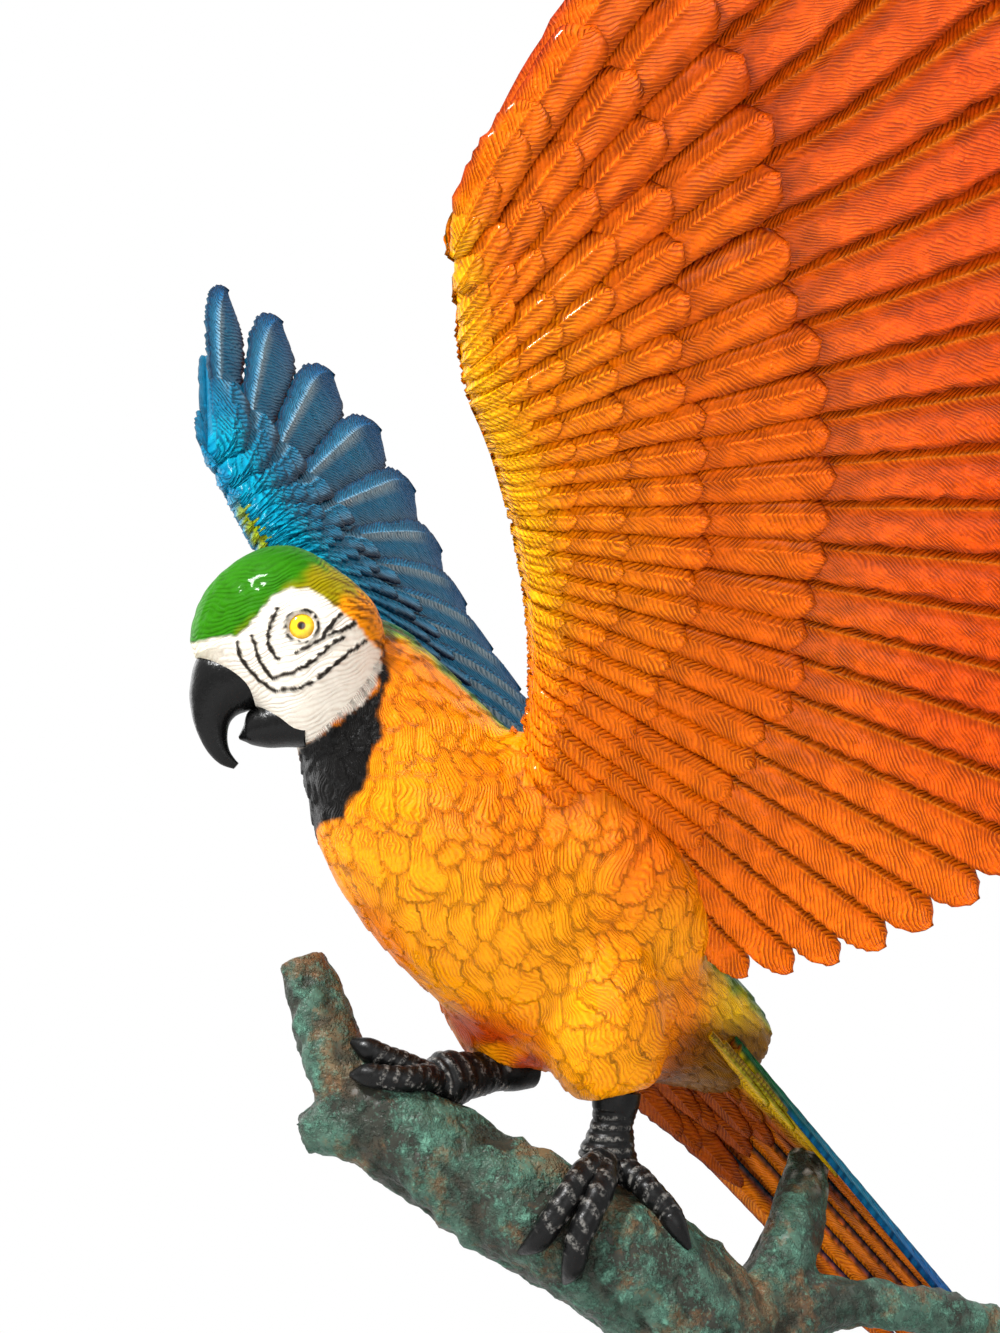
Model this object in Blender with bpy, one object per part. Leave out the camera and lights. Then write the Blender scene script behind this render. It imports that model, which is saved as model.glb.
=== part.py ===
"""Parrot figurine: a macaw with raised wings, perched on a branch that stands on its own foot.

The bird faces -Y, its left is +X and up is +Z. Every length is in metres.
The six castings of painted resin are the branch, the body with its head and tail,
two wings and two feet. They are glued in the real figure, and are modelled with a
small gap between them.
"""
import math

import bmesh
import bpy
from mathutils import Matrix, Vector

# Castings and their joints
GLUE_GAP = 0.0003           # clearance between two castings

# Body: places of the trunk's middle line as (y, z), with the half height and half width there
TRUNK_STATIONS = (
    (-0.0700, 0.3690, 0.0190, 0.0140),
    (-0.0590, 0.3615, 0.0270, 0.0205),
    (-0.0448, 0.3516, 0.0283, 0.0245),
    (-0.0331, 0.3366, 0.0337, 0.0305),
    (-0.0182, 0.3173, 0.0396, 0.0360),
    (0.0123, 0.2911, 0.0405, 0.0375),
    (0.0468, 0.2694, 0.0350, 0.0335),
    (0.0800, 0.2600, 0.0250, 0.0260),
    (0.1080, 0.2470, 0.0150, 0.0190),
)
TRUNK_RINGS = 14
TRUNK_SIDES = 16

# Head
HEAD_CENTRE = Vector((0.0, -0.0746, 0.3698))
HEAD_HALF_LENGTH = 0.0316
HEAD_HALF_HEIGHT = 0.0308
HEAD_HALF_WIDTH = 0.0205
HEAD_TURN = math.radians(-33)       # towards the bird's right
HEAD_ROLL = math.radians(8)         # the left cheek dips
BEAK_FLATTENING = 0.66              # width of the beak against its height
# Beak middle lines as (forward, up, radius) from the head's centre
UPPER_BEAK = ((0.0110, -0.0090, 0.0130), (0.0180, -0.0130, 0.0132), (0.0238, -0.0200, 0.0094),
              (0.0247, -0.0290, 0.0061), (0.0224, -0.0365, 0.0036), (0.0162, -0.0418, 0.0006))
LOWER_BEAK = ((-0.0010, -0.0260, 0.0095), (0.0050, -0.0280, 0.0080), (0.0105, -0.0305, 0.0048),
              (0.0150, -0.0330, 0.0012))

# Thighs: feathered sleeves that end in a flat hem above the legs
THIGH_TOP = Vector((0.0170, 0.0330, 0.2640))
THIGH_HEM = Vector((0.0170, 0.0420, 0.2290))
THIGH_TOP_RADIUS = 0.0235
THIGH_SIDES = 14
# Share of the way down a thigh, and its radius there against the top radius
THIGH_PROFILE = ((0.0, 0.92), (0.35, 0.97), (0.65, 0.80), (0.88, 0.60), (1.0, 0.50))
FAR_THIGH_SHIFT = Vector((0.0, -0.0140, 0.0115))    # the right leg stands further forward

# Tail: long feathers side by side in a low arch, the middle one longest.
# It is modelled along +Y with its root at the origin, then sloped down from the rump.
TAIL_ROOT = Vector((0.0, 0.0930, 0.2560))
TAIL_SLOPE = math.radians(40.0)     # below the horizontal
TAIL_LENGTH = 0.2700
TAIL_FEATHERS = 9
TAIL_STEP_LENGTH = 0.0290           # each feather is this much shorter than its inner neighbour
TAIL_WIDTH = 0.0680                 # across all feathers at the rump
TAIL_TAPER = 0.42                   # share of the width that is lost towards the tip
TAIL_ARCH = 0.0110                  # how far the outer feathers hang below the middle one
TAIL_FREE_LENGTH = 0.0300
TAIL_ROOT_LENGTH = 0.0200           # over which the feathers thicken inside the rump
TAIL_THICKNESS = 0.0022             # half thickness at the shafts

# Wings: every feather radiates from one fan centre ahead of the leading edge.
# A wing is modelled flat, with its fan centre at the origin and its underside facing +Z.
SHOULDER = Vector((0.0388, -0.0002, 0.3476))
FAN_TO_SHOULDER = Vector((0.0799, -0.0663, 0.0))
LEFT_CHORD_AXIS = Vector((0.520, 0.854, 0.016))     # from the leading edge to the trailing edge
LEFT_SPAN_AXIS = Vector((0.413, -0.268, 0.871))     # from the body towards the wrist
RIGHT_CHORD_AXIS = Vector((-0.476, 0.880, 0.000))   # the right wing is swept a little more
RIGHT_SPAN_AXIS = Vector((-0.457, -0.247, 0.854))

FLIGHT_FEATHERS = 24
FAN_TOP = math.radians(56)
FAN_BOTTOM = math.radians(-46.6)
FAN_CROWDING = 0.32                 # how much closer the feathers lie towards the body
RIGHT_CROWDING = 0.42               # the right wing's inner feathers are drawn in more
FLIGHT_REACH = 0.2990               # fan centre to the tips of the secondaries
PRIMARY_EXTRA = 0.0560              # how much further the longest primaries reach
PRIMARY_PEAK = 0.10                 # where along the fan they are longest
PRIMARY_SPREAD = 0.28
OUTERMOST_SHORTFALL = 0.0300
TERTIAL_LOSS = 0.0820               # how much less the feathers beside the body reach
TERTIAL_START = 0.40                # where along the fan that loss begins
TERTIAL_POWER = 1.6
CAMBER = 0.0150                     # how far the inner feathers' tips bend down
CAMBER_START = 0.1500               # distance from the fan centre where the bend begins
CAMBER_RUN = 0.1500
CAMBER_ANGLE = math.radians(40)     # feathers above this direction stay straight
CAMBER_BLEND = math.radians(25)
FINGER_LENGTH = 0.0950              # free, tapering end of the outermost feather
TIP_LENGTH = 0.0140                 # free end of an inner feather
FINGER_SHARE = 0.42                 # share of the fan over which the free ends shorten
FINGER_POWER = 1.1
FLIGHT_THICKNESS = 0.0021           # half thickness of the flight feathers where they leave the coverts
TIP_THICKNESS = 0.0010
FEATHER_RELIEF = 0.0008             # crests above and grooves below a feather's mean surface
NARROWEST_TIP = 0.16                # width of a feather's blunt point against its full width
FINGER_RINGS = (0.45, 0.80, 1.0)    # places along a long free end at which it is drawn
TIP_RINGS = (0.70, 1.0)             # the same for a short one
RELIEF_FADE = 0.6                   # share of the relief that is lost at the point
# Columns across one feather: place, crest on the upper skin, crest on the lower one, notch depth
FEATHER_SECTION = ((0.0, -1.0, -1.0, 1.0), (0.32, 0.1, 1.0, 0.10), (0.70, 1.0, 0.1, 0.0))
FEATHER_GROOVE = (-1.0, -1.0, 1.0)

# Covert rows: reach from the fan centre, extra reach over the hand, half thickness at the tips
COVERT_ROWS = ((0.1050, 0.0400, 0.0064), (0.1310, 0.0450, 0.0054), (0.1717, 0.0400, 0.0044))
COVERT_STEP = 0.0026                # drop from a row's tips to the row below
COVERT_STEP_RUN = 0.0010
COVERT_SCALLOP = 0.0080             # depth of the notch between two coverts
SHORTEST_COVERT = 0.0096            # least reach of a covert past the thickest line of the arm
HAND_START = math.radians(18)       # where the coverts begin to lengthen over the hand
HAND_SPAN = math.radians(38)

# Leading edge of the flat wing, as its distance from the fan centre
EDGE_NEAREST = 0.0650
EDGE_NEAREST_ANGLE = math.radians(25)
EDGE_RISE_TO_SHOULDER = 0.0330
EDGE_SPAN_TO_SHOULDER = math.radians(65)
EDGE_RISE_TO_HAND = 0.0280
EDGE_SPAN_TO_HAND = math.radians(31)
EDGE_POWER = 2.5                    # how late the edge swings away on both sides
ARM_ROUNDING = 0.0090               # from the leading edge to the thickest line of the arm
ARM_THICKNESS = 0.0085              # half thickness at the wrist
ARM_EXTRA = 0.0060                  # added at the shoulder
HAND_THINNING = 0.0025              # taken away at the hand
HAND_SHARE = 0.25                   # share of the fan over which that fades out
HAND_BULGE = math.radians(2.2)      # the hand's leading edge swells out this far
HAND_BULGE_REACH = 0.1400
HAND_BULGE_LENGTH = 0.0700
ROOT_LOBE = Vector((0.0940, -0.1170, 0.0000))       # flesh between flank and wing
ROOT_LOBE_RADII = Vector((0.0270, 0.0540, 0.0185))
ROOT_LOBE_TURN = math.radians(42)

# Branch: middle line of the main limb as (x, y, z, radius), from the free end to the foot
LIMB = ((-0.0408, -0.0457, 0.2730, 0.0085), (-0.0380, -0.0410, 0.2560, 0.0105),
        (-0.0345, -0.0351, 0.2400, 0.0110), (-0.0255, -0.0205, 0.2195, 0.0155),
        (-0.0153, 0.0005, 0.2050, 0.0182), (0.0000, 0.0237, 0.1900, 0.0196),
        (0.0119, 0.0440, 0.1780, 0.0208), (0.0153, 0.0695, 0.1590, 0.0240),
        (0.0150, 0.0850, 0.1240, 0.0265), (0.0110, 0.0860, 0.0850, 0.0280),
        (0.0060, 0.0780, 0.0450, 0.0320), (0.0040, 0.0730, 0.0170, 0.0420),
        (0.0030, 0.0720, 0.0000, 0.0600))
LIMB_RINGS = 30
LIMB_READINGS = 200                 # places along the limb at which a toe can stand
LIMB_SIDES = 14
LIMB_UPPER_SIDE = Vector((0.35, -0.94, 0.90))       # rough direction from which the bark's folds are counted
BARK_RELIEF = 0.07                  # depth of the bark's folds against the radius
# Folds round the limb, their twist from ring to ring, and their share of the relief
BARK_FOLDS = ((3, 0.35, 0.6), (5, -0.80, 0.4))
STUB = ((0.0160, 0.0790, 0.1500, 0.0190), (0.0204, 0.0963, 0.1619, 0.0150),
        (0.0190, 0.1120, 0.1860, 0.0100), (0.0150, 0.1270, 0.2130, 0.0080))
TWIG = ((0.0180, 0.0900, 0.1540, 0.0150), (0.0306, 0.1182, 0.1640, 0.0095),
        (0.0374, 0.1519, 0.1610, 0.0075), (0.0442, 0.2112, 0.1510, 0.0060))
SIDE_KNOB = ((-0.0300, -0.0260, 0.2230, 0.0140), (-0.0440, -0.0420, 0.2160, 0.0075))
TOP_KNOB = ((-0.0060, 0.0120, 0.2000, 0.0110), (-0.0055, 0.0130, 0.2165, 0.0080))

# Feet
LEG_RADIUS = 0.0078
TOE_RADIUS = 0.0052
CLAW_RADIUS = 0.0034
CLAW_POINT_RADIUS = 0.0010
ANKLE_RADIUS = 0.0095
ANKLE_HEIGHT = 0.0067               # middle of the ankle above the bark
LEG_STRAIGHT = 0.0080               # the leg's last stretch below the hem keeps its radius
LEFT_PERCH = 0.455                  # where the left foot stands along the limb's stations
RIGHT_PERCH = 0.278
# Toes as (turn round the limb at the claw in degrees, way along the limb's stations)
LEFT_TOES = ((128, -0.038), (135, 0.010), (62, 0.078), (-95, 0.010))
RIGHT_TOES = ((45, -0.110), (80, -0.080), (-60, -0.080), (-95, 0.030))
TOE_STEPS = 7
TOE_ARCH = 0.0020                   # a toe's middle stands this far clear of its ends
TOE_START_STEP = 0.0007             # each toe leaves the ankle a little above the one before
TOE_CLEARANCE = 0.9                 # a toe's middle above the bark at the ankle, against its radius
CLAW_SINKING = 0.7                  # how much of that is lost at the claw
TOE_ROOT_SHIFT = 0.02               # share of a toe's way and turn that it has where it leaves the ankle
TOE_ROOT_TURN = 0.03


def clear_scene():
    """Remove every object that the file opens with."""
    for item in list(bpy.data.objects):
        bpy.data.objects.remove(item, do_unlink=True)


def new_collection(name):
    """Return a new collection linked to the scene."""
    group = bpy.data.collections.new(name)
    bpy.context.scene.collection.children.link(group)
    return group


def resin(name, colour, roughness):
    """Return a painted resin material of one plain colour."""
    material = bpy.data.materials.new(name)
    material.use_nodes = True
    shader = material.node_tree.nodes["Principled BSDF"]
    shader.inputs["Base Color"].default_value = (*colour, 1.0)
    shader.inputs["Roughness"].default_value = roughness
    shader.inputs["Metallic"].default_value = 0.0
    return material


def smooth_path(stations, count):
    """Read a smooth curve through the stations at evenly spaced places, ends included."""
    last = len(stations) - 1
    path = []
    for step in range(count):
        place = step / (count - 1) * last
        index = min(int(place), last - 1)
        t = place - index
        before = stations[max(index - 1, 0)]
        start, end = stations[index], stations[index + 1]
        after = stations[min(index + 2, last)]
        path.append(tuple(
            0.5 * (2 * b + (c - a) * t + (2 * a - 5 * b + 4 * c - d) * t * t
                   + (3 * b - a - 3 * c + d) * t ** 3)
            for a, b, c, d in zip(before, start, end, after)))
    return path


def loft(name, rings, group):
    """Join rings of equally many points into one closed solid."""
    bm = bmesh.new()
    loops = [[bm.verts.new(point) for point in ring] for ring in rings]
    size = len(loops[0])
    for low, high in zip(loops, loops[1:]):
        for i in range(size):
            j = (i + 1) % size
            bm.faces.new((low[i], low[j], high[j], high[i]))
    bm.faces.new(loops[0])
    bm.faces.new(loops[-1])
    bmesh.ops.triangulate(bm, faces=bm.faces, quad_method="FIXED")
    bmesh.ops.recalc_face_normals(bm, faces=bm.faces)
    mesh = bpy.data.meshes.new(name)
    bm.to_mesh(mesh)
    bm.free()
    item = bpy.data.objects.new(name, mesh)
    group.objects.link(item)
    return item


def as_mesh(item, group):
    """Turn a curve or an object with modifiers into a plain closed mesh object."""
    graph = bpy.context.evaluated_depsgraph_get()
    mesh = bpy.data.meshes.new_from_object(item.evaluated_get(graph))
    bm = bmesh.new()
    bm.from_mesh(mesh)
    bmesh.ops.remove_doubles(bm, verts=bm.verts, dist=1e-6)
    bmesh.ops.recalc_face_normals(bm, faces=bm.faces)
    bm.to_mesh(mesh)
    bm.free()
    solid = bpy.data.objects.new(item.name + "_solid", mesh)
    solid.matrix_world = item.matrix_world
    group.objects.link(solid)
    bpy.data.objects.remove(item, do_unlink=True)
    return solid


def tube(name, points, group, resolution=2):
    """A tapering round bar through points given as (x, y, z, radius), with filled ends."""
    curve = bpy.data.curves.new(name, "CURVE")
    curve.dimensions = "3D"
    curve.bevel_depth = 1.0
    curve.bevel_resolution = resolution
    curve.use_fill_caps = True
    spline = curve.splines.new("POLY")
    spline.points.add(len(points) - 1)
    for knot, (x, y, z, radius) in zip(spline.points, points):
        knot.co = (x, y, z, 1.0)
        knot.radius = radius
    item = bpy.data.objects.new(name, curve)
    group.objects.link(item)
    bpy.context.view_layer.update()
    return as_mesh(item, group)


def ball(name, centre, radii, group, segments=16, rings=10):
    """A stretched sphere about its centre."""
    bm = bmesh.new()
    bmesh.ops.create_uvsphere(bm, u_segments=segments, v_segments=rings, radius=1.0)
    bmesh.ops.scale(bm, vec=radii, verts=bm.verts)
    bmesh.ops.translate(bm, vec=centre, verts=bm.verts)
    mesh = bpy.data.meshes.new(name)
    bm.to_mesh(mesh)
    bm.free()
    item = bpy.data.objects.new(name, mesh)
    group.objects.link(item)
    return item


def hide_guides(group):
    """Show cutters and guides as wire only, and leave them out of renders."""
    for item in group.objects:
        item.hide_render = True
        item.display_type = "WIRE"


def combine(item, group, operation):
    """Join a collection of solids to an object, or cut them away from it."""
    change = item.modifiers.new(operation.title(), "BOOLEAN")
    change.operation = operation
    change.operand_type = "COLLECTION"
    change.collection = group
    change.solver = "EXACT"


def smoothstep(value):
    """An S-shaped rise from 0 to 1 for a value from 0 to 1."""
    share = min(max(value, 0.0), 1.0)
    return share * share * (3 - 2 * share)


def fan_angle(index, crowding):
    """Direction of a flight feather; half numbers give the lines between feathers."""
    t = index / (FLIGHT_FEATHERS - 1)
    return FAN_TOP + (FAN_BOTTOM - FAN_TOP) * ((1 + crowding) * t - crowding * t * t)


def flight_reach(index):
    """Distance of a flight feather's tip from the fan centre."""
    t = index / (FLIGHT_FEATHERS - 1)
    off_peak = min(abs(t - PRIMARY_PEAK) / PRIMARY_SPREAD, 1.0)
    hump = PRIMARY_EXTRA * math.cos(off_peak * math.pi / 2) ** 2
    fall = TERTIAL_LOSS * (max(t - TERTIAL_START, 0.0) / (1 - TERTIAL_START)) ** TERTIAL_POWER
    return FLIGHT_REACH + hump - fall - (OUTERMOST_SHORTFALL if index == 0 else 0.0)


def tip_length(index):
    """Length of the free end, long on the outer fingers and short on the inner feathers."""
    t = index / (FLIGHT_FEATHERS - 1)
    return TIP_LENGTH + (FINGER_LENGTH - TIP_LENGTH) * max(1 - t / FINGER_SHARE, 0.0) ** FINGER_POWER


def feather_columns(count, cross):
    """Columns across a row of feathers as (cross place, feather, crest over, crest under, notch)."""
    columns = []
    for index in range(count):
        first, last = cross(index - 0.5), cross(index + 0.5)
        for share, *shape in FEATHER_SECTION:
            columns.append((first + (last - first) * share, index, *shape))
    columns.append((cross(count - 0.5), count, *FEATHER_GROOVE))
    return columns


def add_free_end(bm, columns, ring, place, start, length, half):
    """Close one feather with a free end that narrows as an ellipse."""
    middle = (columns[0][0] + columns[-1][0]) / 2
    long_finger = length > 2 * TIP_LENGTH
    for share in FINGER_RINGS if long_finger else TIP_RINGS:
        width = max(math.sqrt(1 - share * share), NARROWEST_TIP)
        thin = half + (TIP_THICKNESS - half) * share
        relief = FEATHER_RELIEF * (1 - RELIEF_FADE * share)
        above, below = [], []
        for cross, _, over, under, _ in columns:
            turned = middle + (cross - middle) * width
            above.append(bm.verts.new(place(start + length * share, turned, thin + over * relief)))
            below.append(bm.verts.new(place(start + length * share, turned, -thin - under * relief)))
        following = above + below[::-1]
        for corner in range(len(ring)):
            beside = (corner + 1) % len(ring)
            bm.faces.new((ring[corner], ring[beside], following[beside], following[corner]))
        ring = following
    bm.faces.new(ring)


def feather_loft(name, group, count, cross, profile, place, free):
    """A row of feathers as one loft, with free ends.

    cross(index) gives a feather's place across the row. profile(cross, index, notch) gives
    distances and half thicknesses along a column, from a sharp root to the free ends.
    place(reach, cross, height) gives the point, and free(index) where an end starts and
    how long it is.
    """
    bm = bmesh.new()
    roots, tops, bottoms = [], [], []
    columns = feather_columns(count, cross)
    for across, index, over, under, notch in columns:
        (root, _), *rest = profile(across, index, notch)
        roots.append(bm.verts.new(place(root, across, 0.0)))
        tops.append([bm.verts.new(place(reach, across, half + over * FEATHER_RELIEF))
                     for reach, half in rest])
        bottoms.append([bm.verts.new(place(reach, across, -half - under * FEATHER_RELIEF))
                        for reach, half in rest])
    for here in range(len(columns) - 1):
        there = here + 1
        for skin in (tops, bottoms):
            bm.faces.new((roots[here], roots[there], skin[there][0], skin[here][0]))
            for row in range(len(skin[here]) - 1):
                bm.faces.new((skin[here][row], skin[there][row], skin[there][row + 1], skin[here][row + 1]))
    for side in (0, -1):
        bm.faces.new((roots[side], tops[side][0], bottoms[side][0]))
        for row in range(len(tops[side]) - 1):
            bm.faces.new((tops[side][row], tops[side][row + 1], bottoms[side][row + 1], bottoms[side][row]))
    step = len(FEATHER_SECTION)
    for index in range(count):
        around = range(step * index, step * (index + 1) + 1)
        ring = [tops[c][-1] for c in around] + [bottoms[c][-1] for c in reversed(around)]
        start, length = free(index)
        half = profile(columns[step * index][0], index, 0.0)[-1][1]
        add_free_end(bm, [columns[c] for c in around], ring, place, start, length, half)
    bmesh.ops.recalc_face_normals(bm, faces=bm.faces)
    mesh = bpy.data.meshes.new(name)
    bm.to_mesh(mesh)
    bm.free()
    item = bpy.data.objects.new(name, mesh)
    group.objects.link(item)
    return item


def flat_wing_point(distance, angle, height):
    """A point of the flat wing at a distance and direction from the fan centre."""
    if angle > FAN_TOP - HAND_SPAN:
        swell = max(1 - ((distance - HAND_BULGE_REACH) / HAND_BULGE_LENGTH) ** 2, 0.0)
        angle += HAND_BULGE * swell * (angle - FAN_TOP + HAND_SPAN) / HAND_SPAN
    bend = max(distance - CAMBER_START, 0.0) / CAMBER_RUN
    height += CAMBER * bend * bend * smoothstep((CAMBER_ANGLE - angle) / CAMBER_BLEND)
    return distance * math.cos(angle), distance * math.sin(angle), height


def leading_edge(angle):
    """Distance of the leading edge from the fan centre."""
    if angle < EDGE_NEAREST_ANGLE:
        share = (EDGE_NEAREST_ANGLE - angle) / EDGE_SPAN_TO_SHOULDER
        return EDGE_NEAREST + EDGE_RISE_TO_SHOULDER * share ** EDGE_POWER
    share = (angle - EDGE_NEAREST_ANGLE) / EDGE_SPAN_TO_HAND
    return EDGE_NEAREST + EDGE_RISE_TO_HAND * share ** EDGE_POWER


def arm_thickness(angle):
    """Half thickness of the arm, growing towards the shoulder and thin over the hand."""
    share = (FAN_TOP - angle) / (FAN_TOP - FAN_BOTTOM)
    return ARM_THICKNESS + ARM_EXTRA * share ** 2 - HAND_THINNING * max(1 - share / HAND_SHARE, 0.0)


def free_end(index):
    """Where a flight feather comes free of its neighbours, and how long its free end is."""
    return flight_reach(index) - tip_length(index), tip_length(index)


def between(free, index, count, notch):
    """Start of the free end at a column; a groove takes the middle of its two feathers."""
    start = free(min(index, count - 1))[0]
    if notch < 1.0 or index in (0, count):
        return start
    return (start + free(index - 1)[0]) / 2


def wing_profile(angle, index, notch):
    """Distances and half thicknesses along one column of a wing, with its stepped coverts."""
    edge = leading_edge(angle)
    profile = [(edge, 0.0), (edge + ARM_ROUNDING, arm_thickness(angle))]
    longer = smoothstep((angle - HAND_START) / HAND_SPAN)
    for reach, hand_extra, thickness in COVERT_ROWS:
        tip = max(reach, edge + ARM_ROUNDING + SHORTEST_COVERT) + hand_extra * longer
        tip -= COVERT_SCALLOP * notch
        profile.append((tip, thickness))
        profile.append((tip + COVERT_STEP_RUN, thickness - COVERT_STEP))
    profile.append((between(free_end, index, FLIGHT_FEATHERS, notch), FLIGHT_THICKNESS))
    return profile


def build_wing(side, parts, body_cutters):
    """One wing, joined flat, then placed at its shoulder and cut to seat on the flank."""
    mirrored = side == "right"
    guides = new_collection(f"{side}_wing_guides")
    crowding = RIGHT_CROWDING if mirrored else FAN_CROWDING
    lobe = ball(f"{side}_root_lobe", (0, 0, 0), ROOT_LOBE_RADII, guides, 10, 7)
    lobe.matrix_world = Matrix.Translation(ROOT_LOBE) @ Matrix.Rotation(ROOT_LOBE_TURN, 4, "Z")
    skin = feather_loft(f"{side}_wing_skin", parts, FLIGHT_FEATHERS,
                        lambda index: fan_angle(index, crowding), wing_profile, flat_wing_point, free_end)
    combine(skin, guides, "UNION")
    bpy.context.view_layer.update()
    wing = as_mesh(skin, parts)
    hide_guides(guides)

    chord = (RIGHT_CHORD_AXIS if mirrored else LEFT_CHORD_AXIS).normalized()
    span = (RIGHT_SPAN_AXIS if mirrored else LEFT_SPAN_AXIS).normalized()
    under = span.cross(chord) if mirrored else chord.cross(span)
    shoulder = Vector((-SHOULDER.x, SHOULDER.y, SHOULDER.z)) if mirrored else SHOULDER
    fan_centre = shoulder - chord * FAN_TO_SHOULDER.x - span * FAN_TO_SHOULDER.y
    placing = Matrix.Translation(fan_centre) @ Matrix((chord, span, under)).transposed().to_4x4()
    wing.data.transform(placing)
    if mirrored:
        wing.data.flip_normals()
    wing.name = f"{side}_wing"
    combine(wing, body_cutters, "DIFFERENCE")
    return wing


def build_trunk(name, group, extra=0.0):
    """Neck, trunk and rump as one loft; extra widens it for a cutter."""
    path = smooth_path(TRUNK_STATIONS, TRUNK_RINGS)
    rings = []
    for index, (y, z, height, width) in enumerate(path):
        before, after = path[max(index - 1, 0)], path[min(index + 1, len(path) - 1)]
        along = Vector((0, after[0] - before[0], after[1] - before[1])).normalized()
        across = Vector((1, 0, 0))
        upward = across.cross(along)
        centre = Vector((0, y, z))
        rings.append([centre + across * (width + extra) * math.cos(angle)
                      + upward * (height + extra) * math.sin(angle)
                      for angle in (2 * math.pi * side / TRUNK_SIDES for side in range(TRUNK_SIDES))])
    return loft(name, rings, group)


def thigh_frame(side):
    """Top and hem of one thigh."""
    shift = FAR_THIGH_SHIFT if side == "right" else Vector((0, 0, 0))
    sign = -1 if side == "right" else 1
    ends = []
    for point in (THIGH_TOP, THIGH_HEM):
        ends.append(Vector((point.x * sign, point.y, point.z)) + shift)
    return ends


def build_thigh(side, group):
    """A feathered sleeve that narrows to a flat hem."""
    top, hem = thigh_frame(side)
    rings = []
    for share, radius in THIGH_PROFILE:
        centre = top.lerp(hem, share)
        size = THIGH_TOP_RADIUS * radius
        rings.append([centre + Vector((math.cos(a), math.sin(a), 0.0)) * size
                      for a in (2 * math.pi * i / THIGH_SIDES for i in range(THIGH_SIDES))])
    return loft(f"{side}_thigh", rings, group)


def build_head(group):
    """Skull and beak, turned and rolled about the skull's centre."""
    turn = (Matrix.Translation(HEAD_CENTRE) @ Matrix.Rotation(HEAD_TURN, 4, "Z")
            @ Matrix.Rotation(HEAD_ROLL, 4, "Y"))
    skull = ball("skull", (0, 0, 0), (HEAD_HALF_WIDTH, HEAD_HALF_LENGTH, HEAD_HALF_HEIGHT), group, 16, 9)
    skull.data.transform(turn)
    for name, line in (("upper_beak", UPPER_BEAK), ("lower_beak", LOWER_BEAK)):
        points = smooth_path([(0.0, -forward, up, radius) for forward, up, radius in line], 9)
        beak = tube(name, points, group)
        beak.data.transform(turn @ Matrix.Diagonal((BEAK_FLATTENING, 1, 1, 1)))


def tail_cross(index):
    """Place of a tail feather across the tail."""
    return (index - (TAIL_FEATHERS - 1) / 2) * TAIL_WIDTH / TAIL_FEATHERS


def tail_end(index):
    """Where a tail feather comes free, and how long its free end is."""
    outward = abs(index - (TAIL_FEATHERS - 1) / 2)
    return TAIL_LENGTH - TAIL_FREE_LENGTH - outward * TAIL_STEP_LENGTH, TAIL_FREE_LENGTH


def build_tail(name, group, extra=0.0):
    """All tail feathers as one loft; extra thickens it for a cutter."""
    def profile(_, index, notch):
        start = between(tail_end, index, TAIL_FEATHERS, notch)
        half = TAIL_THICKNESS + extra
        return [(0.0, 0.0), (TAIL_ROOT_LENGTH, half), (start, half)]

    def place(reach, cross, height):
        narrowed = cross * (1 - TAIL_TAPER * reach / TAIL_LENGTH)
        return narrowed, reach, height - TAIL_ARCH * (2 * cross / TAIL_WIDTH) ** 2

    tail = feather_loft(name, group, TAIL_FEATHERS, tail_cross, profile, place, tail_end)
    tail.data.transform(Matrix.Translation(TAIL_ROOT) @ Matrix.Rotation(-TAIL_SLOPE, 4, "X"))


def build_body(parts):
    """Trunk, head, thighs and tail as one casting."""
    guides = new_collection("body_guides")
    build_head(guides)
    for side in ("left", "right"):
        build_thigh(side, guides)
    build_tail("tail", guides)
    body = build_trunk("parrot_body", parts)
    combine(body, guides, "UNION")
    hide_guides(guides)
    return body


def limb_ring(path, index, extra, sides):
    """One section of the main limb, with the bark's folds."""
    x, y, z, radius = path[index]
    before, after = path[max(index - 1, 0)], path[min(index + 1, len(path) - 1)]
    along = Vector([b - a for a, b in zip(before[:3], after[:3])]).normalized()
    if index == len(path) - 1:
        along = Vector((0, 0, -1))
    upward = (LIMB_UPPER_SIDE - along * along.dot(LIMB_UPPER_SIDE)).normalized()
    sideways = along.cross(upward)
    ring = []
    for side in range(sides):
        angle = 2 * math.pi * side / sides
        fold = 1 + BARK_RELIEF * sum(depth * math.sin(folds * angle + twist * index)
                                     for folds, twist, depth in BARK_FOLDS)
        size = radius * fold + extra
        ring.append(Vector((x, y, z)) + upward * size * math.cos(angle) + sideways * size * math.sin(angle))
    return ring


def build_limb(name, group, extra=0.0):
    """The main limb from its free end down to the flared foot."""
    path = smooth_path(LIMB, LIMB_RINGS)
    rings = [limb_ring(path, index, extra, LIMB_SIDES) for index in range(LIMB_RINGS)]
    return loft(name, rings, group)


def build_growths(group, extra=0.0):
    """Stub, twig and knobs that grow from the main limb; extra widens them for a cutter."""
    for name, line in (("stub", STUB), ("twig", TWIG), ("side_knob", SIDE_KNOB), ("top_knob", TOP_KNOB)):
        path = smooth_path(line, 3 * len(line) - 2)
        tube(name, [(x, y, z, radius + extra) for x, y, z, radius in path], group)


def build_branch(parts):
    """Main limb, stub, twig and knobs as one casting, cut clear of the tail."""
    guides = new_collection("branch_guides")
    build_growths(guides)
    branch = build_limb("branch", parts)
    combine(branch, guides, "UNION")
    tail_seat = new_collection("tail_seat")
    build_tail("tail_seat_solid", tail_seat, GLUE_GAP)
    combine(branch, tail_seat, "DIFFERENCE")
    hide_guides(guides)
    hide_guides(tail_seat)
    return branch


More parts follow.
